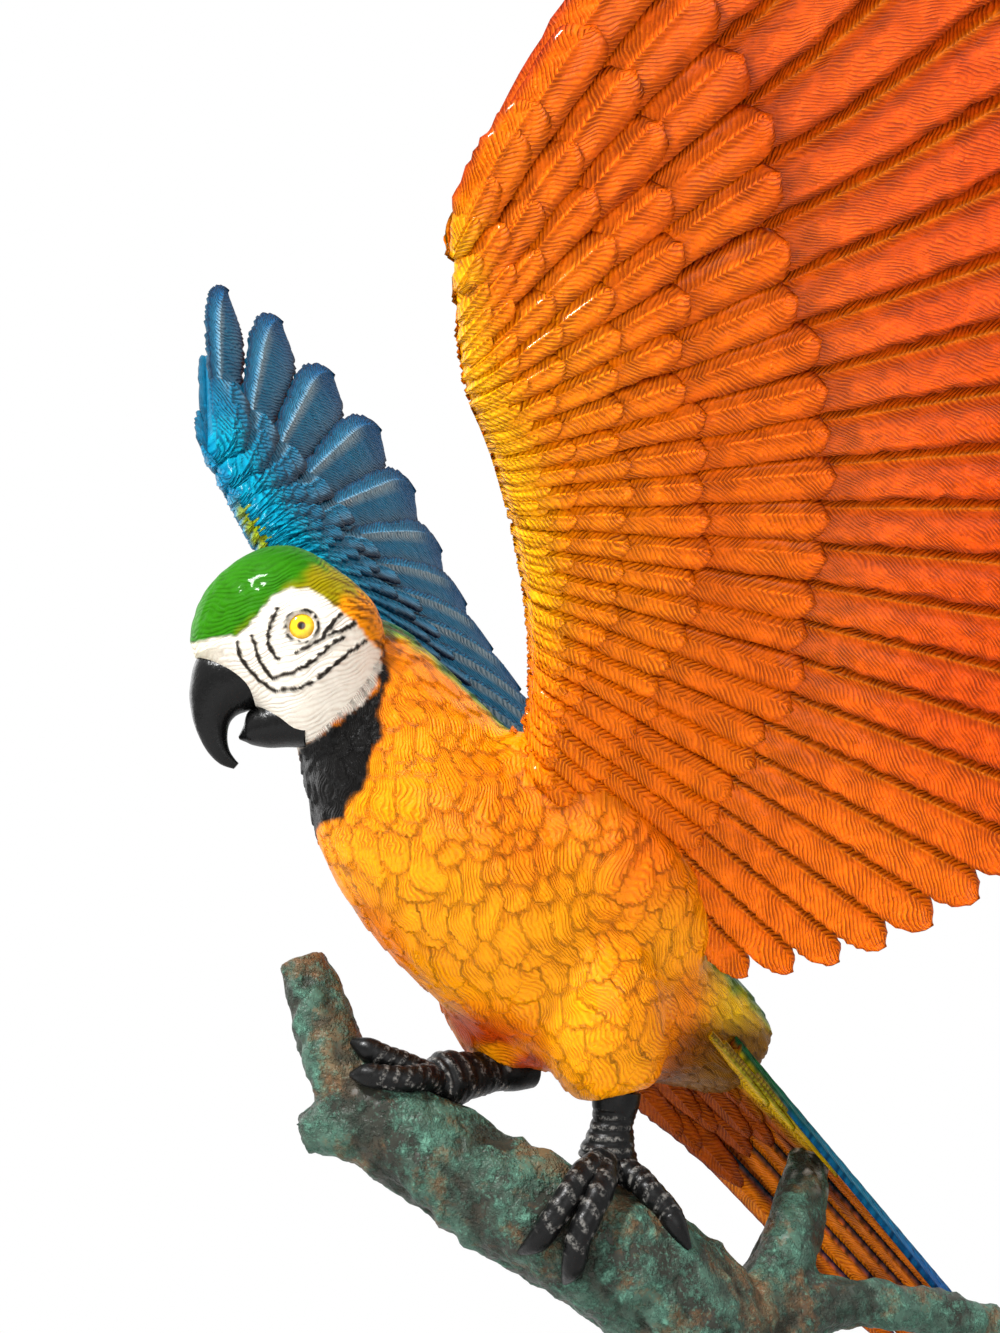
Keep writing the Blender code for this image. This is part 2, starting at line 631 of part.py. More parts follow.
def limb_place(share, turn, height):
    """A point over the limb's surface: way along it, turn round it and height above it."""
    path = smooth_path(LIMB, LIMB_READINGS)
    index = min(max(int(share * (LIMB_READINGS - 1)), 1), LIMB_READINGS - 2)
    x, y, z, radius = path[index]
    along = Vector([b - a for a, b in zip(path[index - 1][:3], path[index + 1][:3])]).normalized()
    upward = (Vector((0, 0, 1)) - along * along.z).normalized()
    sideways = along.cross(upward)
    out = upward * math.cos(turn) + sideways * math.sin(turn)
    return Vector((x, y, z)) + out * (radius + height)


def build_foot(side, parts, branch_cutters, body_cutters):
    """Leg, ankle and four toes with claws, cut to seat on the limb."""
    perch = LEFT_PERCH if side == "left" else RIGHT_PERCH
    toes = LEFT_TOES if side == "left" else RIGHT_TOES
    guides = new_collection(f"{side}_foot_guides")
    ankle = limb_place(perch, 0.0, ANKLE_HEIGHT)
    for number, (turn, shift) in enumerate(toes):
        points = []
        for step in range(TOE_STEPS):
            share = step / (TOE_STEPS - 1)
            radius = TOE_RADIUS + (CLAW_RADIUS - TOE_RADIUS) * share
            if step == TOE_STEPS - 1:
                radius = CLAW_POINT_RADIUS
            height = radius * (TOE_CLEARANCE - CLAW_SINKING * share) + TOE_ARCH * math.sin(share * math.pi)
            height += TOE_START_STEP * number * (1 - share)
            place = limb_place(perch + shift * (share + TOE_ROOT_SHIFT),
                               math.radians(turn) * (share + TOE_ROOT_TURN), height)
            points.append((*place, radius))
        tube(f"{side}_toe_{number}", points, guides, resolution=1)
    hem = thigh_frame(side)[1]
    leg = tube(f"{side}_leg", [(*ankle, ANKLE_RADIUS), (hem.x, hem.y, hem.z - LEG_STRAIGHT, LEG_RADIUS),
                               (hem.x, hem.y, hem.z - GLUE_GAP, LEG_RADIUS)], parts)
    leg.name = f"{side}_foot"
    combine(leg, guides, "UNION")
    combine(leg, branch_cutters, "DIFFERENCE")
    combine(leg, body_cutters, "DIFFERENCE")
    hide_guides(guides)
    return leg


def stand_on_origin(castings):
    """Parent everything to an empty, so that the origin is under the middle of the figure's box."""
    bpy.context.view_layer.update()
    graph = bpy.context.evaluated_depsgraph_get()
    corners = []
    for casting in castings:
        solid = casting.evaluated_get(graph)
        corners += [solid.matrix_world @ Vector(corner) for corner in solid.bound_box]
    low = [min(corner[axis] for corner in corners) for axis in range(3)]
    high = [max(corner[axis] for corner in corners) for axis in range(3)]
    origin = bpy.data.objects.new("figurine_origin", None)
    bpy.context.scene.collection.objects.link(origin)
    for item in list(bpy.data.objects):
        if item is not origin:
            item.parent = origin
    origin.location = (-(low[0] + high[0]) / 2, -(low[1] + high[1]) / 2, -low[2])


def main():
    """Build the whole figure."""
    clear_scene()
    parts = new_collection("parrot_figurine")
    body_cutters = new_collection("body_cutters")
    build_trunk("trunk_cutter", body_cutters, GLUE_GAP)
    branch_cutters = new_collection("branch_cutters")
    build_limb("limb_cutter", branch_cutters, GLUE_GAP)
    build_growths(branch_cutters, GLUE_GAP)
    finishes = {
        "branch": resin("verdigris_resin", (0.16, 0.27, 0.22), 0.6),
        "parrot_body": resin("golden_resin", (0.95, 0.45, 0.03), 0.35),
        "left_wing": resin("orange_resin", (0.85, 0.25, 0.02), 0.35),
        "right_wing": resin("blue_resin", (0.05, 0.25, 0.55), 0.35),
        "left_foot": resin("black_resin", (0.03, 0.03, 0.03), 0.4),
        "right_foot": resin("black_resin", (0.03, 0.03, 0.03), 0.4),
    }
    castings = [build_body(parts), build_branch(parts)]
    for side in ("left", "right"):
        castings.append(build_wing(side, parts, body_cutters))
        castings.append(build_foot(side, parts, branch_cutters, body_cutters))
    hide_guides(body_cutters)
    hide_guides(branch_cutters)
    for casting in castings:
        casting.data.materials.clear()
        casting.data.materials.append(finishes[casting.name])
    stand_on_origin(castings)


main()
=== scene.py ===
"""Looks of the parrot figurine: carved feathers, painted resin, verdigris branch, light and camera.

Lengths are metres. The bird faces -Y, its left is +X. Shapes are worked out in the frame in which the
casting was drawn, and moved by ORIGIN_SHIFT so that the origin lies under the middle of its box.
"""

import logging
import math
from dataclasses import dataclass, field
from enum import Enum
from typing import Callable

import bmesh
import bpy
import numpy as np
from mathutils import Matrix, Vector

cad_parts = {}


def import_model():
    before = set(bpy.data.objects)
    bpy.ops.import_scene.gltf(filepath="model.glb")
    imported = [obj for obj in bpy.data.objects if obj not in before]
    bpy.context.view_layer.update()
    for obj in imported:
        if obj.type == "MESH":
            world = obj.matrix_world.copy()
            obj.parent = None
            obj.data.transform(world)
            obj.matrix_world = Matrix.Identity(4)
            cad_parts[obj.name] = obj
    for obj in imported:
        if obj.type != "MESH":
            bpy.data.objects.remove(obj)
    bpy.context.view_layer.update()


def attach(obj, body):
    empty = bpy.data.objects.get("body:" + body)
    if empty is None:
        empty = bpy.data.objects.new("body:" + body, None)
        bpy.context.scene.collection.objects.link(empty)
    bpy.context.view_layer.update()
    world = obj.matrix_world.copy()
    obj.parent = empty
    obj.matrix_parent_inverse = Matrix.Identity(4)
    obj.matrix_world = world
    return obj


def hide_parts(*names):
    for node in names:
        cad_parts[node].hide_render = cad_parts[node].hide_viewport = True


LOG = logging.getLogger("parrot")
Array = np.ndarray
Colour = tuple[float, float, float]
Dress = Callable[[Array, Array, Array], Array]
ORIGIN_SHIFT = np.array([0.00287, -0.09870, 0.0])
BODY = "figurine"


class Side(Enum):
    """Side of the bird, with the sign of its X."""

    LEFT = 1
    RIGHT = -1


class Skin(Enum):
    """Side of a wing that a row of feathers covers."""

    UNDER = 1
    OVER = -1


def paint(red: int, green: int, blue: int) -> Array:
    """Return a colour mixed as on a screen, 0 to 255, as linear light."""
    tone = np.array([red, green, blue]) / 255.0
    return np.where(tone <= 0.04045, tone / 12.92, ((tone + 0.055) / 1.055) ** 2.4)


class Tint:
    """Paints on the bird, as linear light."""

    # Wings, underside
    YOLK = paint(255, 176, 4)
    COVERT_GOLD = paint(255, 132, 1)
    COVERT_ORANGE = paint(250, 108, 1)
    FLIGHT_ORANGE = paint(236, 84, 0)
    FLIGHT_RED = paint(214, 60, 0)
    HAND_ORANGE = paint(238, 92, 1)
    FLANK_ORANGE = paint(255, 116, 2)
    # Painted highlight along the raised shafts
    SHAFT_ORANGE = paint(255, 132, 14)
    UNDER_RIM = paint(10, 128, 168)
    RIM_LIME = paint(140, 160, 6)
    # Wings, upper side
    TURQUOISE = paint(6, 140, 172)
    COVERT_BLUE = paint(14, 112, 148)
    MID_BLUE = paint(22, 124, 166)
    VANE_GREY = paint(112, 130, 144)
    TIP_BLUE = paint(10, 76, 130)
    SHAFT_PALE = paint(168, 190, 196)
    # Navy edge paint, with painted shadow where the feathers overlap
    NAVY = paint(2, 26, 66)
    RIM_GREEN = paint(40, 110, 20)
    THUMB_ORANGE = paint(226, 120, 2)
    # Trunk
    BREAST_GOLD = paint(255, 160, 2)
    BREAST_ORANGE = paint(250, 124, 1)
    CHEST_GOLD = paint(250, 138, 4)
    ROOT_ORANGE = paint(236, 96, 2)
    GROIN_RED = paint(206, 48, 6)
    RUMP_YELLOW = paint(255, 204, 6)
    SHADOW_BROWN = paint(92, 36, 8)
    BORDER_OLIVE = paint(150, 160, 10)
    BACK_GREEN = paint(20, 92, 34)
    BACK_BLUE = paint(10, 108, 158)
    NAPE_STROKE = paint(96, 44, 3)
    THROAT_BLACK = paint(9, 8, 7)
    # Tail
    TAIL_ORANGE = paint(255, 136, 6)
    # Painted shadow in the tail's underside
    TAIL_BROWN = paint(112, 40, 4)
    TAIL_TIP = paint(226, 92, 4)
    TAIL_YELLOW = paint(246, 196, 6)
    TAIL_RIM = paint(20, 100, 150)
    TAIL_GREEN = paint(20, 96, 44)
    TAIL_TEAL = paint(16, 112, 140)
    TAIL_BLUE = paint(26, 96, 168)
    # Painted shade on the tufts
    TUFT_BROWN = paint(176, 76, 4)
    TUFT_YELLOW = paint(255, 204, 4)
    TUFT_GREEN = paint(96, 140, 16)
    # Head
    NAPE_GOLD = paint(242, 146, 16)
    CROWN_OLIVE = paint(140, 128, 4)
    CROWN_GREEN = paint(40, 112, 2)
    CROWN_SHADE = paint(20, 84, 3)
    STROKE_BROWN = paint(78, 36, 4)
    FACE_WHITE = paint(236, 228, 214)
    CERE_CREAM = paint(214, 206, 178)
    LINE_BLACK = paint(38, 33, 28)
    LID_BLACK = paint(20, 18, 16)
    CHIN_BLACK = paint(12, 10, 9)
    # Eyes
    IRIS_YELLOW = paint(240, 206, 16)
    IRIS_AMBER = paint(206, 140, 10)
    IRIS_BROWN = paint(92, 44, 12)
    PUPIL = paint(10, 8, 8)
    EYE_RING = paint(24, 20, 12)


def smooth(value: Array, low: float = 0.0, high: float = 1.0) -> Array:
    """Return an S-shaped ramp from 0 at low to 1 at high."""
    share = np.clip((np.asarray(value, float) - low) / (high - low), 0.0, 1.0)
    return share * share * (3.0 - 2.0 * share)


def mix(first: Array, second: Array, share: Array) -> Array:
    """Blend two colours by a share for each point."""
    return first + (second - first) * np.asarray(share)[..., None]


def step_of(angle: Array) -> Array:
    """Spacing of neighbouring feathers."""
    return np.abs(np.gradient(angle))


def curve(stations: Array, count: int) -> Array:
    """Read a Catmull-Rom curve through stations at evenly spaced places.

    Args:
        stations: one row of numbers for each station.
        count: how many places are read, both ends included.

    Returns:
        One row for each place.
    """
    knots = np.asarray(stations, float)
    last = len(knots) - 1
    place = np.linspace(0.0, last, count)
    index = np.minimum(place.astype(int), last - 1)
    t = (place - index)[:, None]
    before, start = knots[np.maximum(index - 1, 0)], knots[index]
    end, after = knots[index + 1], knots[np.minimum(index + 2, last)]
    return 0.5 * (2 * start + (end - before) * t + (2 * before - 5 * start + 4 * end - after) * t * t
                  + (3 * start - before - 3 * end + after) * t ** 3)


def ripple(points: Array, pitch: float, seed: int, waves: int = 9) -> Array:
    """Smooth random relief between about -1 and 1: a sum of sine waves in random directions.

    Args:
        points: places, last axis x, y, z.
        pitch: mean distance between crests.
        seed: number that fixes the directions.
        waves: how many waves are added.

    Returns:
        Relief at each place.
    """
    chance = np.random.default_rng(seed)
    direction = chance.normal(size=(waves, 3))
    direction /= np.linalg.norm(direction, axis=1)[:, None]
    direction *= 2 * math.pi / pitch * chance.uniform(0.7, 1.4, (waves, 1))
    phase = chance.uniform(0, 2 * math.pi, waves)
    return np.sin(points @ direction.T + phase).sum(-1) / math.sqrt(waves)


def distance_to(places: Array, line: Array) -> Array:
    """Distance of flat places from a line through knots: the least over its straight stretches."""
    first, step = line[:-1], np.diff(line, axis=0)
    offset = places[..., None, :] - first
    share = np.clip((offset * step).sum(-1) / (step ** 2).sum(-1), 0.0, 1.0)
    return np.linalg.norm(offset - share[..., None] * step, axis=-1).min(-1)


def inside(places: Array, loop: Array, edge: float, seed: int) -> Array:
    """Mask of flat places inside a closed outline, with a painted, slightly uneven edge.

    Args:
        places: flat places, last axis of two.
        loop: knots of the outline, not repeated at the end.
        edge: half width over which the paint fades.
        seed: number that fixes the unevenness.

    Returns:
        1 inside to 0 outside.
    """
    closed = np.concatenate([loop, loop[:1]])
    first, second = closed[:-1], closed[1:]
    back, rise = places[..., 0:1], places[..., 1:2]
    crosses = (first[:, 1] > rise) != (second[:, 1] > rise)
    climb = second[:, 1] - first[:, 1]
    slope = (second[:, 0] - first[:, 0]) / np.where(climb == 0, 1e-9, climb)
    odd = ((back < first[:, 0] + slope * (rise - first[:, 1])) & crosses).sum(-1) % 2 == 1
    depth = np.where(odd, 1.0, -1.0) * distance_to(places, closed)
    deep = np.concatenate([places, places[..., :1] * 0], -1)
    return smooth(depth + 0.6 * edge * ripple(deep, 8 * edge, seed), -edge, edge)


class Skinmesh:
    """Collects grids of points with their masks and turns them into one mesh object."""

    def __init__(self) -> None:
        """Start with nothing."""
        self.points: list[Array] = []
        self.faces: list[Array] = []
        self.slots: list[Array] = []
        self.masks: dict[str, list[Array]] = {"paint": [], "vane": [], "groove": []}
        self.total = 0

    def add_rings(self, points: Array, colour: Array, vane: Array, groove: Array,
                  slot: Array | int = 0) -> None:
        """Add closed bodies, each a stack of rings whose two ends are zipped shut.

        Args:
            points: bodies, rings, places round the ring, 3. The ring runs over the one skin
                and comes back under the other.
            colour: linear colour for each point.
            vane: place in the feather for each point as (across, along, chance).
            groove: 0 on the crest to 1 in a groove, for each point. On the feathers it sets painted shade, on
                the branch the dark patina of the hollows, and on the feet where the dry-brushing stays off.
            slot: material slot for each place round the ring, or one number.
        """
        bodies, rings, round_count = points.shape[:3]
        index = np.arange(bodies * rings * round_count).reshape(bodies, rings, round_count) + self.total
        after = np.roll(index, -1, axis=2)
        walls = np.stack([index[:, :-1], after[:, :-1], after[:, 1:], index[:, 1:]], -1)
        half = round_count // 2
        zipped = index[..., ::-1]
        start = np.stack([index[:, 0, :half - 1], zipped[:, 0, :half - 1],
                          zipped[:, 0, 1:half], index[:, 0, 1:half]], -1)
        end = np.stack([index[:, -1, :half - 1], index[:, -1, 1:half],
                        zipped[:, -1, 1:half], zipped[:, -1, :half - 1]], -1)
        round_slot = np.broadcast_to(np.asarray(slot), (round_count,))
        wall_slot = np.broadcast_to(round_slot, walls.shape[:3])
        for faces, slots in ((walls, wall_slot), (start, np.zeros(start.shape[:2], int)),
                             (end, np.broadcast_to(round_slot[:half - 1], end.shape[:2]))):
            self.faces.append(faces.reshape(-1, 4))
            self.slots.append(slots.reshape(-1))
        self._keep(points, colour, vane, groove)

    def add_faces(self, points: Array, faces: Array, colour: Array, vane: Array, groove: Array) -> None:
        """Add a ready mesh of quads, all in the first slot."""
        self.faces.append(faces + self.total)
        self.slots.append(np.zeros(len(faces), int))
        self._keep(points, colour, vane, groove)

    def _keep(self, points: Array, colour: Array, vane: Array, groove: Array) -> None:
        """Store points and masks flat."""
        shape = points.shape[:-1]
        self.points.append(points.reshape(-1, 3))
        self.masks["paint"].append(np.broadcast_to(colour, (*shape, 3)).reshape(-1, 3))
        self.masks["vane"].append(np.broadcast_to(vane, (*shape, 3)).reshape(-1, 3))
        self.masks["groove"].append(np.broadcast_to(groove, shape).reshape(-1))
        self.total += int(np.prod(shape))

    def build(self, name: str, materials: list[bpy.types.Material]) -> bpy.types.Object:
        """Make the mesh object, with its faces turned outward.

        Args:
            name: piece name.
            materials: material for each slot.

        Returns:
            The new object, at the origin.
        """
        points = np.concatenate(self.points) + ORIGIN_SHIFT
        faces = np.concatenate(self.faces)
        mesh = bpy.data.meshes.new(name)
        mesh.from_pydata(points.tolist(), [], faces.tolist())
        mesh.polygons.foreach_set("material_index", np.concatenate(self.slots).astype(np.int32))
        turned = bmesh.new()
        turned.from_mesh(mesh)
        bmesh.ops.recalc_face_normals(turned, faces=turned.faces)
        turned.to_mesh(mesh)
        turned.free()
        mesh.polygons.foreach_set("use_smooth", np.ones(len(faces), bool))
        for key, kind, property_name in (("paint", "FLOAT_COLOR", "color"),
                                         ("vane", "FLOAT_VECTOR", "vector"), ("groove", "FLOAT", "value")):
            values = np.concatenate(self.masks[key])
            if key == "paint":
                values = np.concatenate([values, np.ones((len(values), 1))], 1)
            layer = mesh.attributes.new(key, kind, "POINT")
            layer.data.foreach_set(property_name, values.astype(np.float32).ravel())
        for material in materials:
            mesh.materials.append(material)
        mesh.update()
        item = bpy.data.objects.new(name, mesh)
        bpy.context.scene.collection.objects.link(item)
        return item


def report(item: bpy.types.Object, node: str) -> None:
    """Let a piece ride on the body in place of a casting, and log it."""
    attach(item, BODY)
    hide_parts(node)
    LOG.info("%s stands for %s, %d faces", item.name, node, len(item.data.polygons))


# Finishes

def new_group(name: str, inputs: dict[str, tuple[str, float]],
              outputs: dict[str, str]) -> bpy.types.NodeTree:
    """Start a shader node group with named sockets.

    Args:
        name: group name.
        inputs: socket name to its kind and starting value.
        outputs: socket name to its kind.

    Returns:
        The group, with an input node named "in" and an output node named "out".
    """
    tree = bpy.data.node_groups.new(name, "ShaderNodeTree")
    for key, (kind, start) in inputs.items():
        socket = tree.interface.new_socket(key, in_out="INPUT", socket_type=kind)
        if kind == "NodeSocketFloat":
            socket.default_value = start
    for key, kind in outputs.items():
        tree.interface.new_socket(key, in_out="OUTPUT", socket_type=kind)
    tree.nodes.new("NodeGroupInput").name = "in"
    tree.nodes.new("NodeGroupOutput").name = "out"
    return tree


def calc(tree: bpy.types.NodeTree, operation: str, first: object, second: object = 0.0,
         third: object = 0.0) -> bpy.types.NodeSocket:
    """Add a Math node; a value may be a number or a socket."""
    node = tree.nodes.new("ShaderNodeMath")
    node.operation = operation
    for socket, value in zip(node.inputs, (first, second, third)):
        if isinstance(value, (int, float)):
            socket.default_value = value
        else:
            tree.links.new(value, socket)
    return node.outputs[0]


def noise(tree: bpy.types.NodeTree, vector: bpy.types.NodeSocket, scale: float, detail: float = 2.0,
          roughness: float = 0.5) -> bpy.types.NodeSocket:
    """Add a Noise Texture and return its factor."""
    node = tree.nodes.new("ShaderNodeTexNoise")
    tree.links.new(vector, node.inputs["Vector"])
    node.inputs["Scale"].default_value = scale
    node.inputs["Detail"].default_value = detail
    node.inputs["Roughness"].default_value = roughness
    return node.outputs[0]


def ramp(tree: bpy.types.NodeTree, value: bpy.types.NodeSocket, low: float, high: float,
         start: float = 0.0, end: float = 1.0) -> bpy.types.NodeSocket:
    """Add a Map Range node that clamps."""
    node = tree.nodes.new("ShaderNodeMapRange")
    for socket, number in zip(("From Min", "From Max", "To Min", "To Max"), (low, high, start, end)):
        node.inputs[socket].default_value = number
    tree.links.new(value, node.inputs["Value"])
    return node.outputs[0]


def blend_colour(tree: bpy.types.NodeTree, share: object, first: object, second: object,
                 mode: str = "MIX") -> bpy.types.NodeSocket:
    """Add a colour Mix node; share and colours may be values or sockets."""
    node = tree.nodes.new("ShaderNodeMix")
    node.data_type = "RGBA"
    node.blend_type = mode
    for key, value in ((0, share), (6, first), (7, second)):
        if isinstance(value, bpy.types.NodeSocket):
            tree.links.new(value, node.inputs[key])
        elif key == 0:
            node.inputs[key].default_value = value
        else:
            node.inputs[key].default_value = (*value, 1.0)
    return node.outputs[2]


def new_material(name: str) -> tuple[bpy.types.Material, bpy.types.NodeTree, bpy.types.Node,
                                     bpy.types.NodeSocket]:
    """Start a material, and return it with its tree, its Principled BSDF and its Object coordinates."""
    material = bpy.data.materials.new(name)
    material.use_nodes = True
    tree = material.node_tree
    place = tree.nodes.new("ShaderNodeTexCoord").outputs["Object"]
    return material, tree, tree.nodes["Principled BSDF"], place


def mask(tree: bpy.types.NodeTree, key: str) -> bpy.types.bpy_prop_collection:
    """Add an Attribute node for one of the piece's own masks, and return its outputs."""
    node = tree.nodes.new("ShaderNodeAttribute")
    node.attribute_name = key
    return node.outputs


def shared(tree: bpy.types.NodeTree, name: str, make: Callable[[], bpy.types.NodeTree]) -> bpy.types.Node:
    """Place a shared node group in a material, and build the group when it is first asked for."""
    node = tree.nodes.new("ShaderNodeGroup")
    node.node_tree = bpy.data.node_groups.get(name) or make()
    return node


def add_bump(tree: bpy.types.NodeTree, height: bpy.types.NodeSocket, distance: float) -> None:
    """Let a height bend the material's normal."""
    bump = tree.nodes.new("ShaderNodeBump")
    bump.inputs["Distance"].default_value = distance
    tree.links.new(height, bump.inputs["Height"])
    tree.links.new(bump.outputs["Normal"], tree.nodes["Principled BSDF"].inputs["Normal"])


def barb_group() -> bpy.types.NodeTree:
    """Fine barbs that leave a feather's shaft at a slant, as height and a mask of painted shade in the
    grooves between them.

    The height is a sine of (along - slant * |across|) / pitch, bent a little by noise.
    """
    tree = new_group("feather_barbs",
                     {"Vane": ("NodeSocketVector", 0), "Pitch": ("NodeSocketFloat", 0.0018),
                      "Slant": ("NodeSocketFloat", 0.8)},
                     {"Height": "NodeSocketFloat", "Groove": "NodeSocketFloat"})
    source = tree.nodes["in"].outputs
    parts = tree.nodes.new("ShaderNodeSeparateXYZ")
    tree.links.new(source["Vane"], parts.inputs[0])
    wander = noise(tree, source["Vane"], 75.0, 2.0, 0.45)
    across = calc(tree, "ABSOLUTE", parts.outputs[0])
    lean = calc(tree, "MULTIPLY", across, source["Slant"])
    along = calc(tree, "SUBTRACT", parts.outputs[1], lean)
    bent = calc(tree, "MULTIPLY_ADD", wander, 0.0090, along)
    turns = calc(tree, "DIVIDE", bent, source["Pitch"])
    wave = calc(tree, "SINE", calc(tree, "MULTIPLY", turns, 2 * math.pi))
    crest = ramp(tree, wave, -1.0, 0.6)
    depth = ramp(tree, noise(tree, source["Vane"], 160.0, 3.0), 0.32, 0.66, 0.15, 1.0)
    target = tree.nodes["out"].inputs
    tree.links.new(calc(tree, "MULTIPLY", crest, depth), target["Height"])
    valley = calc(tree, "SUBTRACT", 1.0, crest)
    tree.links.new(calc(tree, "MULTIPLY", calc(tree, "POWER", valley, 2.0), depth), target["Groove"])
    return tree


def brush_group() -> bpy.types.NodeTree:
    """Uneven hand painting: broad patches and fine mottling, with small pits of cast resin."""
    tree = new_group("brushwork", {"Place": ("NodeSocketVector", 0)},
                     {"Patch": "NodeSocketFloat", "Mottle": "NodeSocketFloat", "Pits": "NodeSocketFloat"})
    place = tree.nodes["in"].outputs["Place"]
    target = tree.nodes["out"].inputs
    tree.links.new(ramp(tree, noise(tree, place, 28.0, 3.0), 0.32, 0.68), target["Patch"])
    tree.links.new(ramp(tree, noise(tree, place, 420.0, 4.0, 0.65), 0.35, 0.65), target["Mottle"])
    cells = tree.nodes.new("ShaderNodeTexVoronoi")
    tree.links.new(place, cells.inputs["Vector"])
    cells.inputs["Scale"].default_value = 520.0
    tree.links.new(ramp(tree, cells.outputs["Distance"], 0.10, 0.30, 1.0, 0.0), target["Pits"])
    return tree


@dataclass(frozen=True)
class CarvedPaint:
    """Glossy hand-painted resin over carved feathers, coloured by the piece's own paint mask.

    groove and highlight are tints that multiply the paint: groove gives painted shade in the grooves and a
    darker mottling, and highlight gives a painted highlight on the barb crests.
    """

    name: str
    groove: Colour
    highlight: Colour
    groove_strength: float = 0.9
    highlight_strength: float = 0.5
    barb_pitch: float = 0.0018
    barb_slant: float = 0.85
    barb_height: float = 0.00032
    barb_shade: float = 0.5
    roughness: float = 0.42
    specular: float = 0.07
    coat: float = 0.14
    coat_roughness: float = 0.09

    def make(self) -> bpy.types.Material:
        """Build the node material."""
        material, tree, shader, place = new_material(self.name)
        barbs = shared(tree, "feather_barbs", barb_group)
        tree.links.new(mask(tree, "vane")["Vector"], barbs.inputs["Vane"])
        barbs.inputs["Pitch"].default_value = self.barb_pitch
        barbs.inputs["Slant"].default_value = self.barb_slant
        brush = shared(tree, "brushwork", brush_group)
        tree.links.new(place, brush.inputs["Place"])
        colour = mask(tree, "paint")["Color"]
        # Painted highlight on the barb crests in broad patches, random mottling, painted shade in the barb
        # grooves, and painted shade from the piece's groove mask.
        crest = calc(tree, "MULTIPLY", brush.outputs["Patch"], barbs.outputs["Height"])
        for share, strength, tint in ((crest, self.highlight_strength, self.highlight),
                                      (brush.outputs["Mottle"], 0.14, self.groove),
                                      (barbs.outputs["Groove"], self.barb_shade, self.groove),
                                      (mask(tree, "groove")["Fac"], self.groove_strength, self.groove)):
            colour = blend_colour(tree, calc(tree, "MULTIPLY", share, strength), colour, tint, "MULTIPLY")
        tree.links.new(colour, shader.inputs["Base Color"])
        shader.inputs["Specular IOR Level"].default_value = self.specular
        rough = calc(tree, "MULTIPLY_ADD", brush.outputs["Mottle"], 0.14, self.roughness - 0.07)
        tree.links.new(rough, shader.inputs["Roughness"])
        shader.inputs["Coat Weight"].default_value = self.coat
        shader.inputs["Coat Roughness"].default_value = self.coat_roughness
        low = calc(tree, "MULTIPLY", brush.outputs["Pits"], -0.35)
        grain = calc(tree, "MULTIPLY_ADD", brush.outputs["Mottle"], 0.3, low)
        add_bump(tree, calc(tree, "ADD", barbs.outputs["Height"], grain), self.barb_height)
        return material


@dataclass(frozen=True)
class Verdigris:
    """Weathered bronze look: turquoise crust over dark grey-green, with copper brown spots and pale chips.

    The piece's paint mask says where the paint is chipped off.
    """

    name: str = "verdigris_bark"
    dark: Colour = (0.026, 0.027, 0.020)
    crust: Colour = (0.060, 0.125, 0.090)
    pale: Colour = (0.150, 0.360, 0.260)
    copper: Colour = (0.180, 0.085, 0.032)
    chipped: Colour = (0.60, 0.58, 0.54)
    crust_height: float = 0.0012

    def make(self) -> bpy.types.Material:
        """Build the node material."""
        material, tree, shader, place = new_material(self.name)
        broad = ramp(tree, noise(tree, place, 60.0, 5.0, 0.65), 0.42, 0.58)
        fine = ramp(tree, noise(tree, place, 170.0, 5.0, 0.72), 0.50, 0.64)
        specks = ramp(tree, noise(tree, place, 800.0, 3.0, 0.6), 0.56, 0.68)
        rust = ramp(tree, noise(tree, place, 34.0, 6.0, 0.72), 0.52, 0.60)
        colour = self.dark
        for share, strength, tone in ((broad, 0.9, self.crust), (fine, 0.6, self.pale),
                                      (rust, 0.65, self.copper), (specks, 0.35, self.pale),
                                      (mask(tree, "groove")["Fac"], 0.85, self.dark),
                                      (mask(tree, "paint")["Fac"], 1.0, self.chipped)):
            colour = blend_colour(tree, calc(tree, "MULTIPLY", share, strength), colour, tone)
        tree.links.new(colour, shader.inputs["Base Color"])
        shader.inputs["Specular IOR Level"].default_value = 0.2
        tree.links.new(ramp(tree, fine, 0.0, 1.0, 0.42, 0.72), shader.inputs["Roughness"])
        add_bump(tree, calc(tree, "ADD", fine, broad), self.crust_height)
        return material


@dataclass(frozen=True)
class BlackPaint:
    """Black gloss paint, with pale dry-brushing on the crests where it is asked for."""

    name: str
    brushed: float = 0.0
    roughness: float = 0.22
    base: Colour = (0.004, 0.004, 0.004)
    pale: Colour = (0.50, 0.48, 0.44)
    specular: float = 0.16
    grain_height: float = 0.00015

    def make(self) -> bpy.types.Material:
        """Build the node material."""
        material, tree, shader, place = new_material(self.name)
        shader.inputs["Specular IOR Level"].default_value = self.specular
        crest = ramp(tree, mask(tree, "groove")["Fac"], 0.45, 0.10)
        broken = ramp(tree, noise(tree, place, 620.0, 5.0, 0.75), 0.47, 0.60)
        share = calc(tree, "MULTIPLY", calc(tree, "MULTIPLY", crest, broken), self.brushed)
        tree.links.new(blend_colour(tree, share, self.base, self.pale), shader.inputs["Base Color"])
        grain = noise(tree, place, 700.0, 3.0, 0.6)
        tree.links.new(ramp(tree, grain, 0.3, 0.7, self.roughness - 0.06, self.roughness + 0.1),
                       shader.inputs["Roughness"])
        add_bump(tree, grain, self.grain_height)
        return material


# Feathers

